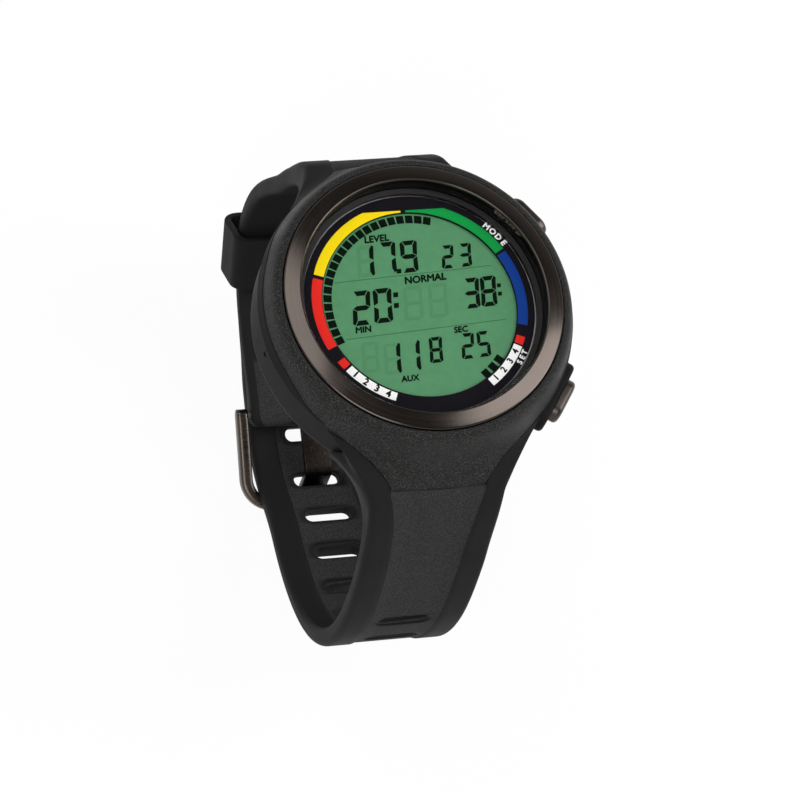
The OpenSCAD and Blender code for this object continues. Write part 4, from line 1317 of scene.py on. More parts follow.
@dataclass(frozen=True)
class StrapPath:
    """The buckled loop: distances of the strap's faces from the loop's centre, by angle in degrees."""

    loop_y: float = 1.3
    loop_z: float = -24.1
    loop_r: float = 38.4
    front_dip: float = 1.5
    front_bulge: float = 3.4
    front_at: Triple = (165, 219, 270)
    rear_dip: float = 4.0
    rear_bulge: float = 5.6
    rear_at: Pair = (-32, 14)
    tail_w: float = 21.6
    strap_w: float = 24.0
    buckle_w: float = 22.6
    root_w: float = 25.6
    waist_w: Pair = (23.6, 25.0)
    taper_l: float = 7.0
    thick: float = 3.4
    root_thick: float = 5.2
    edge_round: float = 1.15
    panel_half: float = 6.0
    panel_depth: float = 0.24
    layer_gap: float = 0.35
    lug_y: float = 27.2
    lug_z: float = 1.8
    pin_angle: float = 286.0
    pin_lift: float = 2.3
    pin_gap: float = 0.4
    knuckle_r: float = 2.2
    tail_rise: Pair = (22.8, 4.7)
    tail_drop: Pair = (4.0, 10.7)
    tail_l: float = 29.5
    tip_l: float = 7.4
    root_l: Pair = (14.0, 16.0)
    slot_pitch: float = 7.98
    prong_cross: float = 12.57

    def arc(self, length: float) -> float:
        """Angle of a length along the loop's inner face."""
        return math.degrees(length / self.loop_r)

    def lug(self, half: Half) -> Point:
        """Angle and distance of a half's strap pin."""
        y, z = half.value * self.lug_y - self.loop_y, self.lug_z - self.loop_z
        return math.degrees(math.atan2(z, y)), math.hypot(y, z)

    def root_share(self, half: Half, a: float) -> float:
        """Share of the root's thickness, 1 at the strap pin."""
        return 1 - ease(abs(a - self.lug(half)[0]) / self.arc(self.root_l[half is Half.BUCKLE]))

    def taper(self, half: Half, a: float) -> float:
        """Share of the root's width, which dies away along the strap."""
        run = math.radians(half.value * (self.lug(half)[0] - a)) * self.loop_r
        return math.exp(-max(0.0, run) / self.taper_l)

    def panel_at(self, half: Half, a: float) -> float:
        """Half width of a half's sunk panel."""
        return mix(self.panel_half, CASE.tongue_half_w, self.taper(half, a))

    @staticmethod
    def eased(stations: Sequence[Point], a: float) -> float:
        """Value that eases from one station to the next.

        Args:
            stations: Pairs of an angle and a value.
            a: The angle.

        Returns:
            The value at the angle.
        """
        value = stations[0][1]
        for (a0, v0), (a1, v1) in zip(stations, stations[1:]):
            value += (v1 - v0) * ease((a - a0) / (a1 - a0))
        return value

    def rear_r(self, a: float) -> float:
        """Inner face on the 12 o'clock side."""
        (lug_a, lug_r), (bulge_a, dip_a) = self.lug(Half.BUCKLE), self.rear_at
        return self.eased([
            (self.pin_angle - 360, self.loop_r), (bulge_a, self.loop_r + self.rear_bulge),
            (dip_a, self.loop_r - self.rear_dip), (lug_a, lug_r - self.thick / 2),
        ], a)

    def front_r(self, a: float) -> float:
        """Inner face on the 6 o'clock side."""
        (lug_a, lug_r), (dip_a, bulge_a, end_a) = self.lug(Half.TAIL), self.front_at
        return self.eased([
            (lug_a, lug_r - self.thick / 2), (dip_a, self.loop_r - self.front_dip),
            (bulge_a, self.loop_r + self.front_bulge), (end_a, self.loop_r),
        ], a)

    def tail_lift(self, a: float) -> float:
        """Lift of the tail over the buckle and the other half.

        Args:
            a: The angle.

        Returns:
            The lift.
        """
        buckle_lift = self.pin_lift + self.knuckle_r + self.pin_gap
        start, end = (self.pin_angle - self.arc(v) for v in self.tail_rise)
        low, high = (self.pin_angle + self.arc(v) for v in self.tail_drop)
        rise = buckle_lift * ease((a - start) / (end - start))
        return rise - (buckle_lift - self.thick - self.layer_gap) * ease((a - low) / (high - low))

    def inner(self, half: Half, a: float) -> float:
        """Inner face of a half."""
        tail = self.front_r(a) if a < self.pin_angle else self.rear_r(a - 360)
        return self.rear_r(a) if half is Half.BUCKLE else self.tail_lift(a) + tail

    def outer(self, half: Half, a: float) -> float:
        """Outer face of a half."""
        return self.inner(half, a) + mix(self.thick, self.root_thick, self.root_share(half, a))

    def half_w(self, half: Half, a: float) -> float:
        """Half of a half's width.

        Args:
            half: The half.
            a: The angle.

        Returns:
            The distance from the middle to the edge.
        """
        free = self.tail_w / 2
        if half is Half.BUCKLE:
            widths = [(self.pin_angle - 360, self.buckle_w / 2), (self.rear_at[0], self.strap_w / 2)]
            free = self.eased(widths, a)
        return mix(free, self.waist_w[half is Half.BUCKLE] / 2, self.taper(half, a))

    def at(self, x: float, r: float, a: float) -> Vector:
        """Point at a place across the strap, a distance and an angle."""
        y, z = polar(r, math.radians(a))
        return Vector((x, self.loop_y + y, self.loop_z + z))

    def along_buckle(self, along: float, out: float, x: float, tilt: float = 0.0) -> Vector:
        """Point in the buckle's side view.

        Args:
            along: Distance along the buckle's arms from its pin.
            out: Distance outwards.
            x: Place across the strap.
            tilt: Turn of the arms outwards, in degrees.

        Returns:
            The point in space.
        """
        lean, turn = math.radians(tilt), math.radians(self.pin_angle)
        u = out * math.cos(lean) + along * math.sin(lean)
        v = along * math.cos(lean) - out * math.sin(lean)
        outwards = Vector((0, math.cos(turn), math.sin(turn)))
        forwards = Vector((0, math.sin(turn), -math.cos(turn)))
        return self.at(x, self.loop_r + self.pin_lift, self.pin_angle) + outwards * u + forwards * v


PATH = StrapPath()


@dataclass(frozen=True)
class Section:
    """One closed section of the strap: its faces, its sides and the sunk panels on both faces."""

    low: float
    high: float
    wall: Callable[[float], float]
    panel: float
    depth: float
    inner_depth: float
    corner: float
    foot_corner: float | None = None
    inner_panel: float | None = None
    inner_mark: float = 1.0
    step: float = 0.14
    border: float = 0.06
    plain_share: float = 0.46
    soft_shares: Pair = (0.7, 0.25)
    bend_at: Pair = (0.45, 0.42)
    bend_lead: float = 0.3

    @classmethod
    def across(
        cls, half: Half, a: float, faces: Pair, w: float, depths: Pair, **inner: float,
    ) -> list[Vector]:
        """Ring of the plain strap at an angle, from its two faces, half width and panel depths."""
        section = cls(*faces, lambda _: w, PATH.panel_at(half, a), *depths, PATH.edge_round, **inner)
        return section.ring(lambda x, r: PATH.at(x, r, a))

    def face(self, panel: float, edge: float, level: float, sunk: float) -> list[Point]:
        """Right half of a face, from its middle over the panel's step to the border.

        Args:
            panel: Half width of the panel, where there is room for it.
            edge: Half width of the face.
            level: Distance of the border.
            sunk: How far the panel lies from the border's level.

        Returns:
            The points.
        """
        panel = min(panel, edge - self.step - self.border)
        points = [(0.0, level + sunk), (panel / 2, level + sunk)]
        points += [(panel + self.step * k / 5, level + sunk * (1 - ease(k / 5))) for k in range(6)]
        return points + [(mix(panel + self.step, edge, k / 3), level) for k in (1, 2)]

    def half(self) -> list[Point]:
        """Right half of the section.

        Returns:
            The points from the middle of the outer face to the middle of the inner one.
        """
        thick = self.high - self.low
        c = e = min(self.corner, thick * self.plain_share)
        if self.foot_corner is not None:
            c, e = (min(r, thick * s) for r, s in zip((self.corner, self.foot_corner), self.soft_shares))
        top_z, foot_z = self.high - c, self.low + e
        top_w, foot_w = self.wall(top_z), self.wall(foot_z)
        points = self.face(self.panel, top_w - c, self.high, -self.depth)
        if self.foot_corner is not None:
            bend = (mix(top_w, foot_w, self.bend_at[0]), mix(foot_z, self.high, self.bend_at[1]))
            lead = (top_w - self.bend_lead * c, self.high)
            knots = ((top_w - c, self.high), lead, bend, (foot_w, foot_z))
            points += [tuple(bezier(knots, k / 11)) for k in range(11)]
        else:
            points += [(top_w - c + c * math.sin(t), top_z + c * math.cos(t)) for t in quarter(7)]
            points += [(self.wall(h), h) for h in (mix(top_z, foot_z, k / 4) for k in (1, 2, 3))]
        points += [(foot_w - e + e * math.cos(t), foot_z - e * math.sin(t)) for t in quarter(7)]
        inner = self.face(self.inner_panel or self.panel, foot_w - e, self.low, self.inner_depth)
        return points + inner[::-1]

    def ring(self, place: Callable[[float, float], Vector]) -> list[Vector]:
        """The whole section in space.

        Args:
            place: Gives the point in space of a place across and a distance.

        Returns:
            The closed ring. Each point's fourth coordinate is 1 in a panel and 0 beside it.
        """
        right = self.half()
        fade = [1.0, 1.0] + [1 - k / 5 for k in range(6)]
        marks = fade + [0.0] * (len(right) - 2 * len(fade)) + [self.inner_mark * m for m in reversed(fade)]
        sides = [(x, h, m) for (x, h), m in zip(right, marks)]
        sides += [(-x, h, m) for x, h, m in reversed(sides[1:-1])]
        return [Vector((*place(x, h), m)) for x, h, m in sides]


@dataclass(frozen=True)
class StrapRoot:
    """The end of a strap half that hugs the case on both sides of the tongue and flares into it."""

    half: Half
    top_z: float = 9.2
    foot_z: float = -4.9
    lead: float = 8.2
    sweep: float = 21.258
    rows: int = 44
    gap: float = 0.3
    below_tongue: float = 0.12
    flanks: Pair = (31.68, 9.15)
    flank_drop: float = 4
    toe: float = 3.957
    toe_t: float = 2.649
    toe_from: float = 1.2
    toe_drop: float = 5
    tongue_gap: float = 0.2
    tongue_rim: float = 0.1
    recess: float = 1.7
    recess_share: float = 0.8
    panel_depths: Pair = (0.1, 0.22)
    panel_drop: float = 6
    inner_depth: float = 0.3
    pinch: float = 3.952
    pinch_drop: float = 3.85
    corner: float = 1.6
    foot_corner: float = 0.4
    inside_from: float = 0.35
    inside_run: float = 0.3
    hold: float = 0.525
    hold_end: float = 0.96
    rim_hold: float = 0.1
    rim_run: float = 0.4
    draw_in: float = 2.439

    def flank_x(self, r: float, z: float) -> float:
        """Half width of the flare.

        Args:
            r: Distance from the case's axis.
            z: Height.

        Returns:
            The distance from the strap's middle.
        """
        flank_r = mix(*self.flanks, min(1.0, (self.top_z - z) / self.flank_drop))
        far = CASE.case_r + flank_r
        bearing = math.asin((PATH.root_w / 2 + flank_r) / far)
        bend = (r * r + far * far - flank_r ** 2) / (2 * r * far)
        return r * math.sin(bearing - math.acos(min(1.0, bend)))

    def behind_tongue(self, z: float) -> bool:
        """Whether the case's tongue covers a height."""
        return z > CASE.tongue_end_z - self.tongue_rim

    def panel_depth(self, z: float) -> float:
        """Depth of the outer panel: a recess behind the tongue, and shallow below it.

        Args:
            z: The height.

        Returns:
            The depth.
        """
        if self.behind_tongue(z):
            return self.recess
        return mix(*self.panel_depths, ease((CASE.tongue_end_z - z) / self.panel_drop))

    def case_ring(self, z: float) -> list[Vector]:
        """Section of the horns in a level plane, wrapped round the case.

        Args:
            z: The plane's height.

        Returns:
            The closed ring.
        """
        out_r, in_r = CASE.cone_r(z) - self.below_tongue, CASE.case_r + self.gap
        thick = out_r - in_r
        panel = CASE.tongue_half_at(z) + self.tongue_gap if self.behind_tongue(z) else CASE.tongue_half_w
        pinch = self.pinch * ease((self.top_z - z) / self.pinch_drop) if self.half is Half.TAIL else 0.0
        toe = self.toe * ease((self.top_z - self.toe_from - z) / self.toe_drop)

        def wall(r: float) -> float:
            """Half width of the horns at a distance from the case's axis."""
            spread = toe * max(0.0, 1 - (r - in_r) / self.toe_t) ** 2
            return self.flank_x(r, z) + spread - pinch * min(1.0, max(0.0, (r - in_r) / thick))

        def place(x: float, r: float) -> Vector:
            """Point of a place across and a distance from the case's axis."""
            return Vector((x, self.half.value * CASE.depth_at(x, r, z, self.half is Half.BUCKLE), z))

        depth = min(self.panel_depth(z), thick * self.recess_share)
        return Section(in_r, out_r, wall, panel, depth, 0.0, self.corner, self.foot_corner).ring(place)

    def loop_ring(self, a: float, z: float) -> list[Vector]:
        """Section of the strap in a plane through the loop's centre.

        Args:
            a: The plane's angle.
            z: The height that sets the panel's depth.

        Returns:
            The closed ring.
        """
        mark = 1.0 if self.half is Half.TAIL else 0.0
        faces = PATH.inner(self.half, a), PATH.outer(self.half, a)
        depths = self.panel_depth(z), mark * self.inner_depth * (1 - PATH.root_share(self.half, a))
        return Section.across(self.half, a, faces, PATH.half_w(self.half, a), depths, inner_mark=mark)

    def rings(self) -> tuple[list[list[Vector]], float]:
        """Rings from the horns' tips to the plain strap.

        Returns:
            The rings, and the angle of the last one.
        """
        a = lug_a = PATH.lug(self.half)[0]
        found = []
        for v in (k / self.rows for k in range(self.rows + 1)):
            z = mix(self.top_z, self.foot_z, v)
            a = lug_a - self.half.value * (v * self.sweep - self.lead)
            level, radial = self.case_ring(z), self.loop_ring(a, z)
            row = []
            for i, (p, q) in enumerate(zip(level, radial)):
                inside = ease((1 - abs(1 - 2 * i / len(level)) - self.inside_from) / self.inside_run)
                run = mix(self.rim_run, self.hold_end - self.hold, inside)
                share = ease((v - mix(self.rim_hold, self.hold, inside)) / run)
                drawn = mix(share, 1 - (1 - share) ** self.draw_in, inside)
                row.append(Vector((mix(p.x, q.x, drawn), *p.lerp(q, share)[1:])))
            found.append(row)
        return found, a


@dataclass(frozen=True)
class StrapTail:
    """Strap half from 6 o'clock: it runs under the wrist, through the buckle and into the keeper."""

    row_step: float = 1.1
    tip_rows: int = 14
    tip_thin: float = 0.5
    tip_thin_l: float = 4.0
    tip_round: float = 0.75
    tip_least: float = 0.02
    slot_l: float = 8.4
    slot_w: float = 2.5
    slot_lip: float = 0.7
    slot_over: float = 1.0
    lip_turns: tuple[float, ...] = (0.4, 0.8, 1.2, math.pi / 2)
    slots: range = range(-7, 4)

    def rings(self) -> list[list[Vector]]:
        """Rings from the case to the rounded tip.

        Returns:
            The closed rings.
        """
        found, first = StrapRoot(Half.TAIL).rings()
        tip, end = PATH.arc(PATH.tip_l), PATH.pin_angle + PATH.arc(PATH.tail_l)
        count = int((end - tip - first) / self.row_step)
        angles = [mix(first, end - tip, k / count) for k in range(1, count + 1)]
        angles += [end - tip + tip * math.sin(t) for t in quarter(self.tip_rows)[1:]]
        for a in angles:
            u = max(0.0, (a - end + tip) / tip)
            w = PATH.half_w(Half.TAIL, a) * math.sqrt(max(self.tip_least, 1 - self.tip_round * u * u))
            left = ease((end - a) / PATH.arc(self.tip_thin_l))
            thin, depth = self.tip_thin * (1 - left), PATH.panel_depth * left
            faces = PATH.inner(Half.TAIL, a) + thin, PATH.outer(Half.TAIL, a) - thin
            found.append(Section.across(Half.TAIL, a, faces, w, (depth, depth)))
        return found

    def slot_ring(self, grow: float, out: float) -> list[Vector]:
        """Outline of a slot at a depth, drawn about its own middle with outwards along Z."""
        outline = stadium(self.slot_l - self.slot_w, self.slot_w / 2 + grow, 12)
        return [Vector((x, y, out)) for x, y in outline]

    def cutter(self) -> bpy.types.Object:
        """Makes the slot-shaped tool, whose flared ends leave the slot's edges rounded.

        Returns:
            The tool.
        """
        lip, face = self.slot_lip, PATH.thick / 2 - PATH.panel_depth
        stations = [(self.slot_over, face + self.slot_over), (lip, face)]
        stations += [(lip * (1 - math.sin(t)), face - lip * (1 - math.cos(t))) for t in self.lip_turns]
        rings = [self.slot_ring(grow, out) for grow, out in stations]
        rings += [self.slot_ring(grow, -out) for grow, out in reversed(stations)]
        return make_object("slot_tool", loft(rings), StrapRubber())

    @staticmethod
    def slot_tree(strap: bpy.types.Object, tool: bpy.types.Object) -> bpy.types.NodeTree:
        """Builds the tree that cuts a slot at each point of a row.

        Args:
            strap: The strap to cut.
            tool: The slot's cutting tool.

        Returns:
            The tree. Its points carry the turn of each slot about X.
        """
        tree = bpy.data.node_groups.new("slots_along_strap", "GeometryNodeTree")
        for way, name in (("INPUT", "Row"), ("OUTPUT", "Strap")):
            tree.interface.new_socket(name=name, in_out=way, socket_type="NodeSocketGeometry")
        turn = add_node(tree, "GeometryNodeInputNamedAttribute", {"Name": "turn"}, data_type="FLOAT")
        body, shape = (
            add_node(tree, "GeometryNodeObjectInfo", {"Object": item}).outputs["Geometry"]
            for item in (strap, tool)
        )
        laid = add_node(tree, "GeometryNodeInstanceOnPoints", {
            "Points": add_node(tree, "GeometryNodeMeshToPoints", {"Mesh": add_node(tree, "NodeGroupInput")}),
            "Instance": shape, "Rotation": add_node(tree, "ShaderNodeCombineXYZ", {"X": turn}),
        })
        tools = add_node(tree, "GeometryNodeRealizeInstances", {0: laid})
        cut = add_node(tree, "GeometryNodeMeshBoolean", {
            "Mesh 1": body, "Mesh 2": tools,
        }, operation="DIFFERENCE", solver="EXACT")
        plain = add_node(tree, "GeometryNodeRealizeInstances", {0: cut})
        dressed = add_node(tree, "GeometryNodeSetMaterial", {
            "Geometry": plain, "Material": material_of(StrapRubber()),
        })
        add_node(tree, "NodeGroupOutput", {0: dressed})
        return tree

    def build(self) -> None:
        """Builds the tail half with its slots."""
        strap = make_object("strap_blank", loft(self.rings()), StrapRubber(), sharp=60)
        tool = self.cutter()
        reach = PATH.loop_r + PATH.thick * 1.5
        prong_slot = PATH.pin_angle - math.degrees(math.asin(PATH.prong_cross / reach))
        turns = [prong_slot + k * PATH.arc(PATH.slot_pitch) for k in self.slots]
        data = bpy.data.meshes.new("strap_tail_half")
        middles = [PATH.at(0, PATH.inner(Half.TAIL, a) + PATH.thick / 2, a) * MM for a in turns]
        data.from_pydata(middles, [], [])
        leans = [math.radians(a - 90) for a in turns]
        data.attributes.new("turn", "FLOAT", "POINT").data.foreach_set("value", leans)
        made = linked("strap_tail_half", data)
        made.modifiers.new("slots", "NODES").node_group = self.slot_tree(strap, tool)
        applied(made)
        for spare in (strap, tool):
            bpy.data.objects.remove(spare)
        settle(dress(made, StrapRubber(), sharp=60), "case", "strap_rubber", "strap_lower")


@dataclass(frozen=True)
class StrapBuckleHalf:
    """Strap half from 12 o'clock: it ends in a roll round the buckle pin."""

    row_step: float = 1.1
    roll_run: float = 7.0
    roll_rows: int = 9
    end_round: float = 1.6
    end_least: float = 0.015
    grip_from: float = -60.0
    grip_depth: float = 0.22
    grip_border: float = 1.5
    notch_half: float = 2.9
    notch_skin: float = 0.3
    notch_along: Pair = (-2.1, 3.2)
    notch_top: float = 3.4

    def rings(self) -> list[list[Vector]]:
        """Rings from the case to the roll's end.

        Returns:
            The closed rings.
        """
        found, first = StrapRoot(Half.BUCKLE).rings()
        pin_a, middle = PATH.pin_angle - 360, PATH.loop_r + PATH.pin_lift
        count = int((first - pin_a) / self.row_step)
        runs = [math.radians(mix(first, pin_a, k / count) - pin_a) * PATH.loop_r for k in range(1, count + 1)]
        runs += [-PATH.knuckle_r * math.sin(t) for t in quarter(self.roll_rows)[1:]]
        for run in runs:
            a = pin_a + PATH.arc(run)
            last = max(a, pin_a)
            roll = 1 - ease(run / self.roll_run)
            end = math.sqrt(max(self.end_least, 1 - (min(0.0, run) / PATH.knuckle_r) ** 2))
            faces = (
                mix(PATH.inner(Half.BUCKLE, last), middle - PATH.knuckle_r * end, roll),
                mix(PATH.outer(Half.BUCKLE, last), middle + PATH.knuckle_r * end, roll),
            )
            w = PATH.half_w(Half.BUCKLE, last) - self.end_round * (1 - end)
            grip = 1.0 if a < self.grip_from else 0.0
            found.append(Section.across(
                Half.BUCKLE, a, faces, w, (PATH.panel_depth * (1 - roll), self.grip_depth * grip * end),
                inner_panel=w - self.grip_border, inner_mark=grip,
            ))
        return found

    def build(self) -> None:
        """Builds the buckle half, with the notch in its roll for the prong."""
        made = make_object("strap_buckle_half", loft(self.rings()), StrapRubber(), sharp=60)
        (near, far), low, high = self.notch_along, self.notch_skin - PATH.knuckle_r, self.notch_top
        corners = [(near, low), (far, low), (far, high), (near, high)]
        rings = [[PATH.along_buckle(u, v, s * self.notch_half) for u, v in corners] for s in (-1, 1)]
        tool = make_object("notch_tool", loft(rings), StrapRubber())
        notch = made.modifiers.new("notch", "BOOLEAN")
        notch.operation, notch.solver, notch.object = "DIFFERENCE", "EXACT", tool
        applied(made)
        bpy.data.objects.remove(tool)
        settle(dress(made, StrapRubber(), sharp=60), "case", "strap_rubber", "strap_upper")


@dataclass(frozen=True)
class Keeper:
    """Moulded band that holds the tail down on the buckle half."""

    wall: float = 1.3
    gap: float = 0.25
    give: float = 1.4
    length: float = 11.0
    at: float = 25.5
    corner: float = 2.4
    inner_round: float = 0.35
    outer_round: float = 0.5
    lean: float = 2.0

    def build(self) -> None:
        """Builds the band as a rounded strip that runs round the strap."""
        half_t, peak = self.wall / 2, PATH.loop_r + PATH.rear_bulge
        low = peak - self.give - self.gap - half_t
        high = peak + 2 * PATH.thick + PATH.layer_gap + self.gap + half_t
        half = PATH.strap_w / 2 + self.gap + half_t
        middle = PATH.pin_angle + PATH.arc(self.at)
        loop = rounded(rectangle(half, low, high, self.corner, self.corner), steps=10)
        strip = rounded(rectangle(self.length / 2, -half_t, half_t, self.inner_round, self.outer_round))
        rings = []
        for (x, r), along in headings(loop, closed=True):
            grow = self.lean * ease((high - r) / (high - low))
            turns = [middle + math.degrees((s + grow * (s > 0)) / (high + half_t)) for s, _ in strip]
            rings.append([PATH.at(x + along.y * h, r - along.x * h, a) for a, (_, h) in zip(turns, strip)])
        made = make_object("keeper_band", loft(rings, closed=True), KEEPER_RUBBER)
        settle(made, "keeper", "strap_rubber", "strap_keeper")


@dataclass(frozen=True)
class Buckle:
    """Brushed wire frame and tumbled prong that turn on the buckle pin."""

    wire_w: float = 2.2
    wire_h: float = 2.4
    wire_round: float = 0.75
    end_w: float = 0.85
    end_least: float = 0.01
    half_w: float = 11.65
    reach: float = 16.3
    tilt: float = 6.2
    corner: float = 4.8
    prong_w: float = 5.0
    prong_t: float = 1.1
    prong_round: float = 0.3
    prong_tip: float = 0.9
    prong_gap: float = 0.4
    prong_bends: Pair = (-1.37, 0.83)
    prong_sags: Pair = (0.1, 0.15)
    prong_past: float = 1.7
    bend_round: float = 1.0
    eye_r: float = 1.8
    pin_bore_r: float = 0.95

    def frame_route(self) -> list[Point]:
        """Middle line of the wire, from one end to the other.

        Returns:
            The points, as place across and distance along.
        """
        x, c = self.half_w + self.wire_w / 2, self.corner
        half = [(x, -self.wire_h / 2 * math.cos(t)) for t in quarter(8)]
        half += [(x, (self.reach - c) * k / 10) for k in range(1, 11)]
        half += [(x - c + c * math.cos(t), self.reach - c + c * math.sin(t)) for t in quarter(10)[1:]]
        half += [((x - c) * (1 - k / 6), self.reach) for k in range(1, 6)]
        return half + [(0.0, self.reach)] + [(-u, v) for u, v in reversed(half)]

    def wire(self) -> Mesh:
        """Wire frame, with rounded ends at the pin.

        Returns:
            The mesh.
        """
        half_h = self.wire_h / 2
        shape = rounded(rectangle(self.wire_w / 2, -half_h, half_h, self.wire_round, self.wire_round))
        rings = []
        for (x, v), along in headings(self.frame_route()):
            squeeze = math.sqrt(max(self.end_least, 1 - (min(0.0, v) / half_h) ** 2))
            side = along.y * mix(self.end_w, 1, squeeze)
            rings.append([
                PATH.along_buckle(v - along.x * s, h * squeeze, x + side * s, self.tilt) for s, h in shape
            ])
        return loft(rings)

    def prong(self) -> Mesh:
        """Bent plate with an eye round the pin.

        Returns:
            The mesh.
        """
        half_t, half_w, soft = self.prong_t / 2, self.prong_w / 2, self.prong_round
        tip = self.reach * math.sin(math.radians(self.tilt)) + self.wire_h / 2 + self.prong_gap + half_t
        near, far = (PATH.prong_cross + bend for bend in self.prong_bends)
        route = rounded([
            (0.0, half_t - self.eye_r, 0), (near, -self.eye_r - self.prong_sags[0], self.bend_round),
            (far, tip - self.prong_sags[1], self.bend_round), (self.reach + self.prong_past, tip, 0),
        ], steps=8)
        rings = []
        for (u, v), along in headings(route):
            half = half_w * (1 if (u, v) != route[-1] else self.prong_tip)
            shape = rounded(rectangle(half, -half_t, half_t, soft, soft), steps=4)
            rings.append([PATH.along_buckle(u - along.y * h, v + along.x * h, x) for x, h in shape])
        eye = rounded([
            (self.pin_bore_r, -half_w, 0), (self.eye_r, -half_w, soft), (self.eye_r, half_w, soft),
            (self.pin_bore_r, half_w, 0),
        ])
        knuckle = [[PATH.along_buckle(*polar(r, a), x) for r, x in eye] for a in circle(48)]
        return joined(loft(rings), loft(knuckle, closed=True))

    def build(self) -> None:
        """Builds the frame and the prong over their nodes."""
        settle(make_object("buckle_wire", self.wire(), BUCKLE_STEEL), "buckle", "gunmetal", "buckle_frame")
        settle(make_object("prong_plate", self.prong(), PRONG_STEEL), "prong", "gunmetal", "buckle_prong")


@dataclass(frozen=True)
class ButtonCap:
    """Push button: a rounded steel cap in its boss, on a stem."""

    side: int
    length: float = 8.0
    height: float = 4.2
    back_r: float = 26.95
    face_r: float = 29.2
    back_round: float = 0.2
    soften: float = 0.95
    dome: float = 0.1
    dome_share: float = 0.8
    flat: Pair = (1.5, 0.03)
    tip_r: float = 0.02
    stem_r: float = 1.0
    stem_in: float = 0.1
    stem_end_r: float = 20.4

    @property
    def name(self) -> str:
        """Name of the button's body and node."""
        return "upper_button" if self.side > 0 else "lower_button"

    def place(self, around: float, up: float, out: float) -> Vector:
        """Point on the button: around the case, up, and out from the case's axis."""
        turn = Matrix.Rotation(math.radians(self.side * CASE.button_angle), 3, "Z")
        return turn @ Vector((out, around, CASE.button_z + up))

    def ring(self, shrink: float, out: float) -> list[Vector]:
        """Outline of the cap, smaller all round by shrink."""
        outline = stadium(self.length - self.height, self.height / 2 - shrink, 16)
        return [self.place(x, y, out) for x, y in outline]

    def build(self) -> None:
        """Builds the cap and its stem over the node."""
        soft, back_r, face_r = self.soften, self.back_r, self.face_r
        rings = [self.ring(self.back_round, back_r), self.ring(0, back_r + self.back_round)]
        for t in quarter(7):
            out = face_r - soft * self.dome_share * (1 - math.sin(t)) - self.dome
            rings.append(self.ring(soft * (1 - math.cos(t)), out))
        shrink, drop = self.flat
        rings += [self.ring(shrink, face_r - drop), self.ring(self.height / 2 - self.tip_r, face_r)]
        ends = (self.stem_end_r, back_r + self.stem_in)
        stem = [[self.place(*polar(self.stem_r, a), out) for a in circle(32)] for out in ends]
        made = make_object(f"{self.name}_cap", joined(loft(rings), loft(stem)), BUTTON_STEEL)
        settle(made, self.name, "gunmetal", self.name)


@dataclass(frozen=True)
class ButtonRim:
    """Rounded rim of the case round a button's pocket."""

    side: int
    pocket_gap: float = 0.3
    length: float = 13.2
    height: float = 5.5
    root_out: float = 24.6
    top_out: float = 27.55
    pocket_round: float = 0.1
    soften: float = 0.75
    foot_grow: float = 0.5
    foot_rows: int = 5

    def build(self) -> None:
        """Builds the rim over the edge of the case's own boss."""
        cap, soft, top, edge = ButtonCap(self.side), self.soften, self.top_out, self.pocket_round
        pocket = ButtonCap(self.side, cap.length + 2 * self.pocket_gap, cap.height + 2 * self.pocket_gap)
        rim = ButtonCap(self.side, self.length, self.height)
        rings = [pocket.ring(0, self.root_out), pocket.ring(0, top - edge), pocket.ring(-edge, top)]
        rings += [rim.ring(soft * (1 - math.sin(t)), top - soft * (1 - math.cos(t))) for t in quarter(7)]
        for k in range(1, self.foot_rows + 1):
            share = k / self.foot_rows
            rings.append(rim.ring(-self.foot_grow * share ** 2, mix(top - soft, self.root_out, share)))
        made = make_object(f"{cap.name}_rim", loft(rings, closed=True), SHELL_PLASTIC)
        settle(made, "case", "shell_plastic")


@dataclass(frozen=True)
class Lamp:
    """Soft box that faces the object from a direction, with sizes in metres and its power in watts."""

    name: str
    direction: Triple
    distance: float
    width: float
    height: float
    power: float

    def build(self, target: Vector) -> None:
        """Adds the lamp.

        Args:
            target: The point that it faces.
        """
        data = bpy.data.lights.new(self.name, "AREA")
        data.shape, data.size, data.size_y, data.energy = "RECTANGLE", self.width, self.height, self.power
        made = linked(self.name, data)
        way = Vector(self.direction).normalized()
        made.location = target + way * self.distance
        made.rotation_euler = way.to_track_quat("Z", "Y").to_euler()


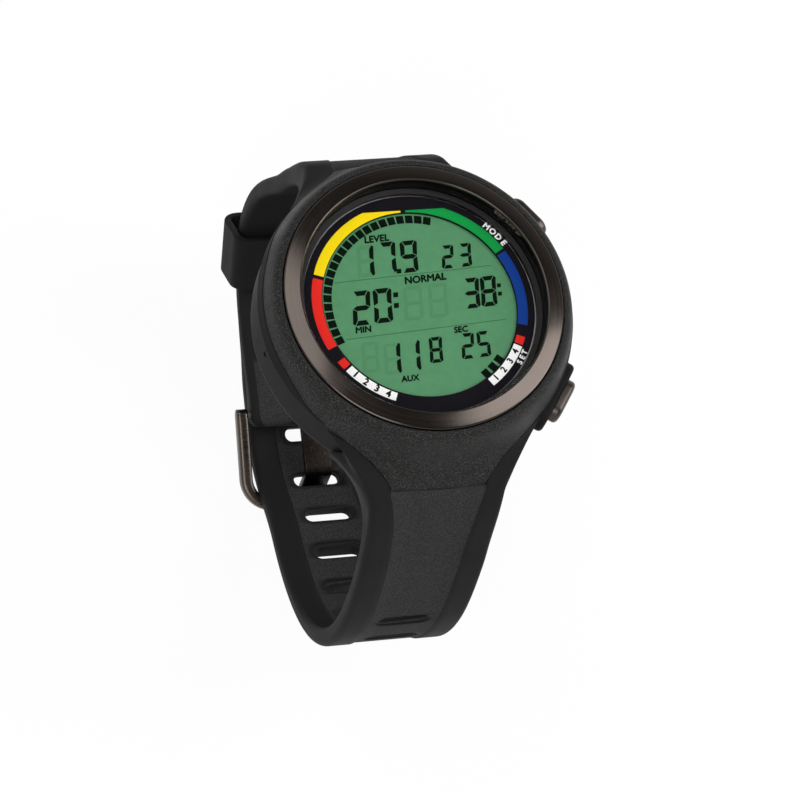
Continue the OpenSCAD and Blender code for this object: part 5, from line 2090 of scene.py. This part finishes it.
@dataclass(frozen=True)
class Studio:
    """Camera at the photograph's angle, pale floor and soft light."""

    camera_place: Triple = (-197.992, -260.753, 635.159)
    camera_right: Triple = (0.95864, -0.16932, 0.22877)
    camera_up: Triple = (0.07117, 0.92087, 0.38331)
    lens: float = 193.404
    sensor: float = 36.0
    clip_m: Pair = (0.01, 20)
    horizon: float = 1.0
    zenith: float = 0.14
    band: Pair = (0.22, 0.6)
    floor_gap: float = 2.0
    floor_m: float = 4.0
    lamps: tuple[Lamp, ...] = (
        Lamp("soft_box_right", (0.62, -0.03, 0.785), 0.65, 0.3, 0.44, 1.65),
        Lamp("soft_box_low_right", (0.84, -0.22, 0.48), 0.65, 0.24, 0.24, 0.7),
        Lamp("soft_box_upper_left", (-0.35, 0.3, 0.89), 0.8, 0.5, 0.5, 1.8),
        Lamp("soft_box_front", (-0.35, -0.5, 0.79), 0.9, 0.5, 0.5, 3.0),
    )

    def add_camera(self) -> None:
        """Adds the camera that was fitted to the photograph."""
        data = bpy.data.cameras.new("camera")
        data.lens, data.sensor_width = self.lens, self.sensor
        data.clip_start, data.clip_end = self.clip_m
        camera = linked("camera", data)
        right = Vector(self.camera_right).normalized()
        up = (Vector(self.camera_up) - right * right.dot(Vector(self.camera_up))).normalized()
        turn = Matrix((right, up, right.cross(up))).transposed().to_4x4()
        camera.matrix_world = Matrix.Translation(Vector(self.camera_place) * MM) @ turn
        bpy.context.scene.camera = camera

    def add_floor(self) -> None:
        """Adds the sheet of paper under the object."""
        z = CAD_BOX[0].z - self.floor_gap * MM
        sheet = bpy.data.meshes.new("floor")
        corners = [(x, y, z) for x, y, _ in rectangle(self.floor_m, -self.floor_m, self.floor_m, 0, 0)]
        sheet.from_pydata(corners, [], [(0, 1, 2, 3)])
        sheet.materials.append(material_of(StudioFloor()))
        linked("floor", sheet)

    def add_sky(self) -> None:
        """Adds the room's light, which falls off from the horizon to the zenith."""
        world = bpy.data.worlds.new("studio")
        bpy.context.scene.world = world
        world.use_nodes = True
        tree = world.node_tree
        tree.nodes.clear()
        place = add_node(tree, "ShaderNodeTexCoord").outputs["Generated"]
        way = add_node(tree, "ShaderNodeSeparateXYZ", {0: place})
        fall = add_node(tree, "ShaderNodeMapRange", {
            "Value": way.outputs["Z"], "From Min": self.band[0], "From Max": self.band[1],
            "To Min": self.horizon, "To Max": self.zenith,
        })
        glow = add_node(tree, "ShaderNodeBackground", {"Strength": fall})
        add_node(tree, "ShaderNodeOutputWorld", {"Surface": glow})

    def build(self) -> None:
        """Adds the camera, the floor, the world's light and the lamps."""
        bpy.context.scene.view_settings.view_transform = "Standard"
        self.add_camera()
        self.add_floor()
        self.add_sky()
        for lamp in self.lamps:
            lamp.build((CAD_BOX[0] + CAD_BOX[1]) / 2)


def dress_nodes() -> None:
    """Gives every node that stays in view its finish."""
    for finish, names in FINISH_NODES.items():
        for name in names:
            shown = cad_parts[name]
            shown.data.materials.clear()
            shown.data.materials.append(material_of(finish))
            log.info("%s is dressed in %s", name, finish.name)


def main() -> None:
    """Builds the studio, then each sub-assembly."""
    logging.basicConfig(level=logging.INFO, format="%(name)s: %(message)s")
    Studio().build()
    dress_nodes()
    parts = (
        Cover(), ShellBand(1), ShellBand(-1), BezelAndCrystal(), DIAL, StrapTail(), StrapBuckleHalf(),
        Keeper(), Buckle(), ButtonCap(1, face_r=29.7), ButtonCap(-1), ButtonRim(1), ButtonRim(-1),
    )
    for part in parts:
        part.build()


if __name__ == "__main__":
    main()
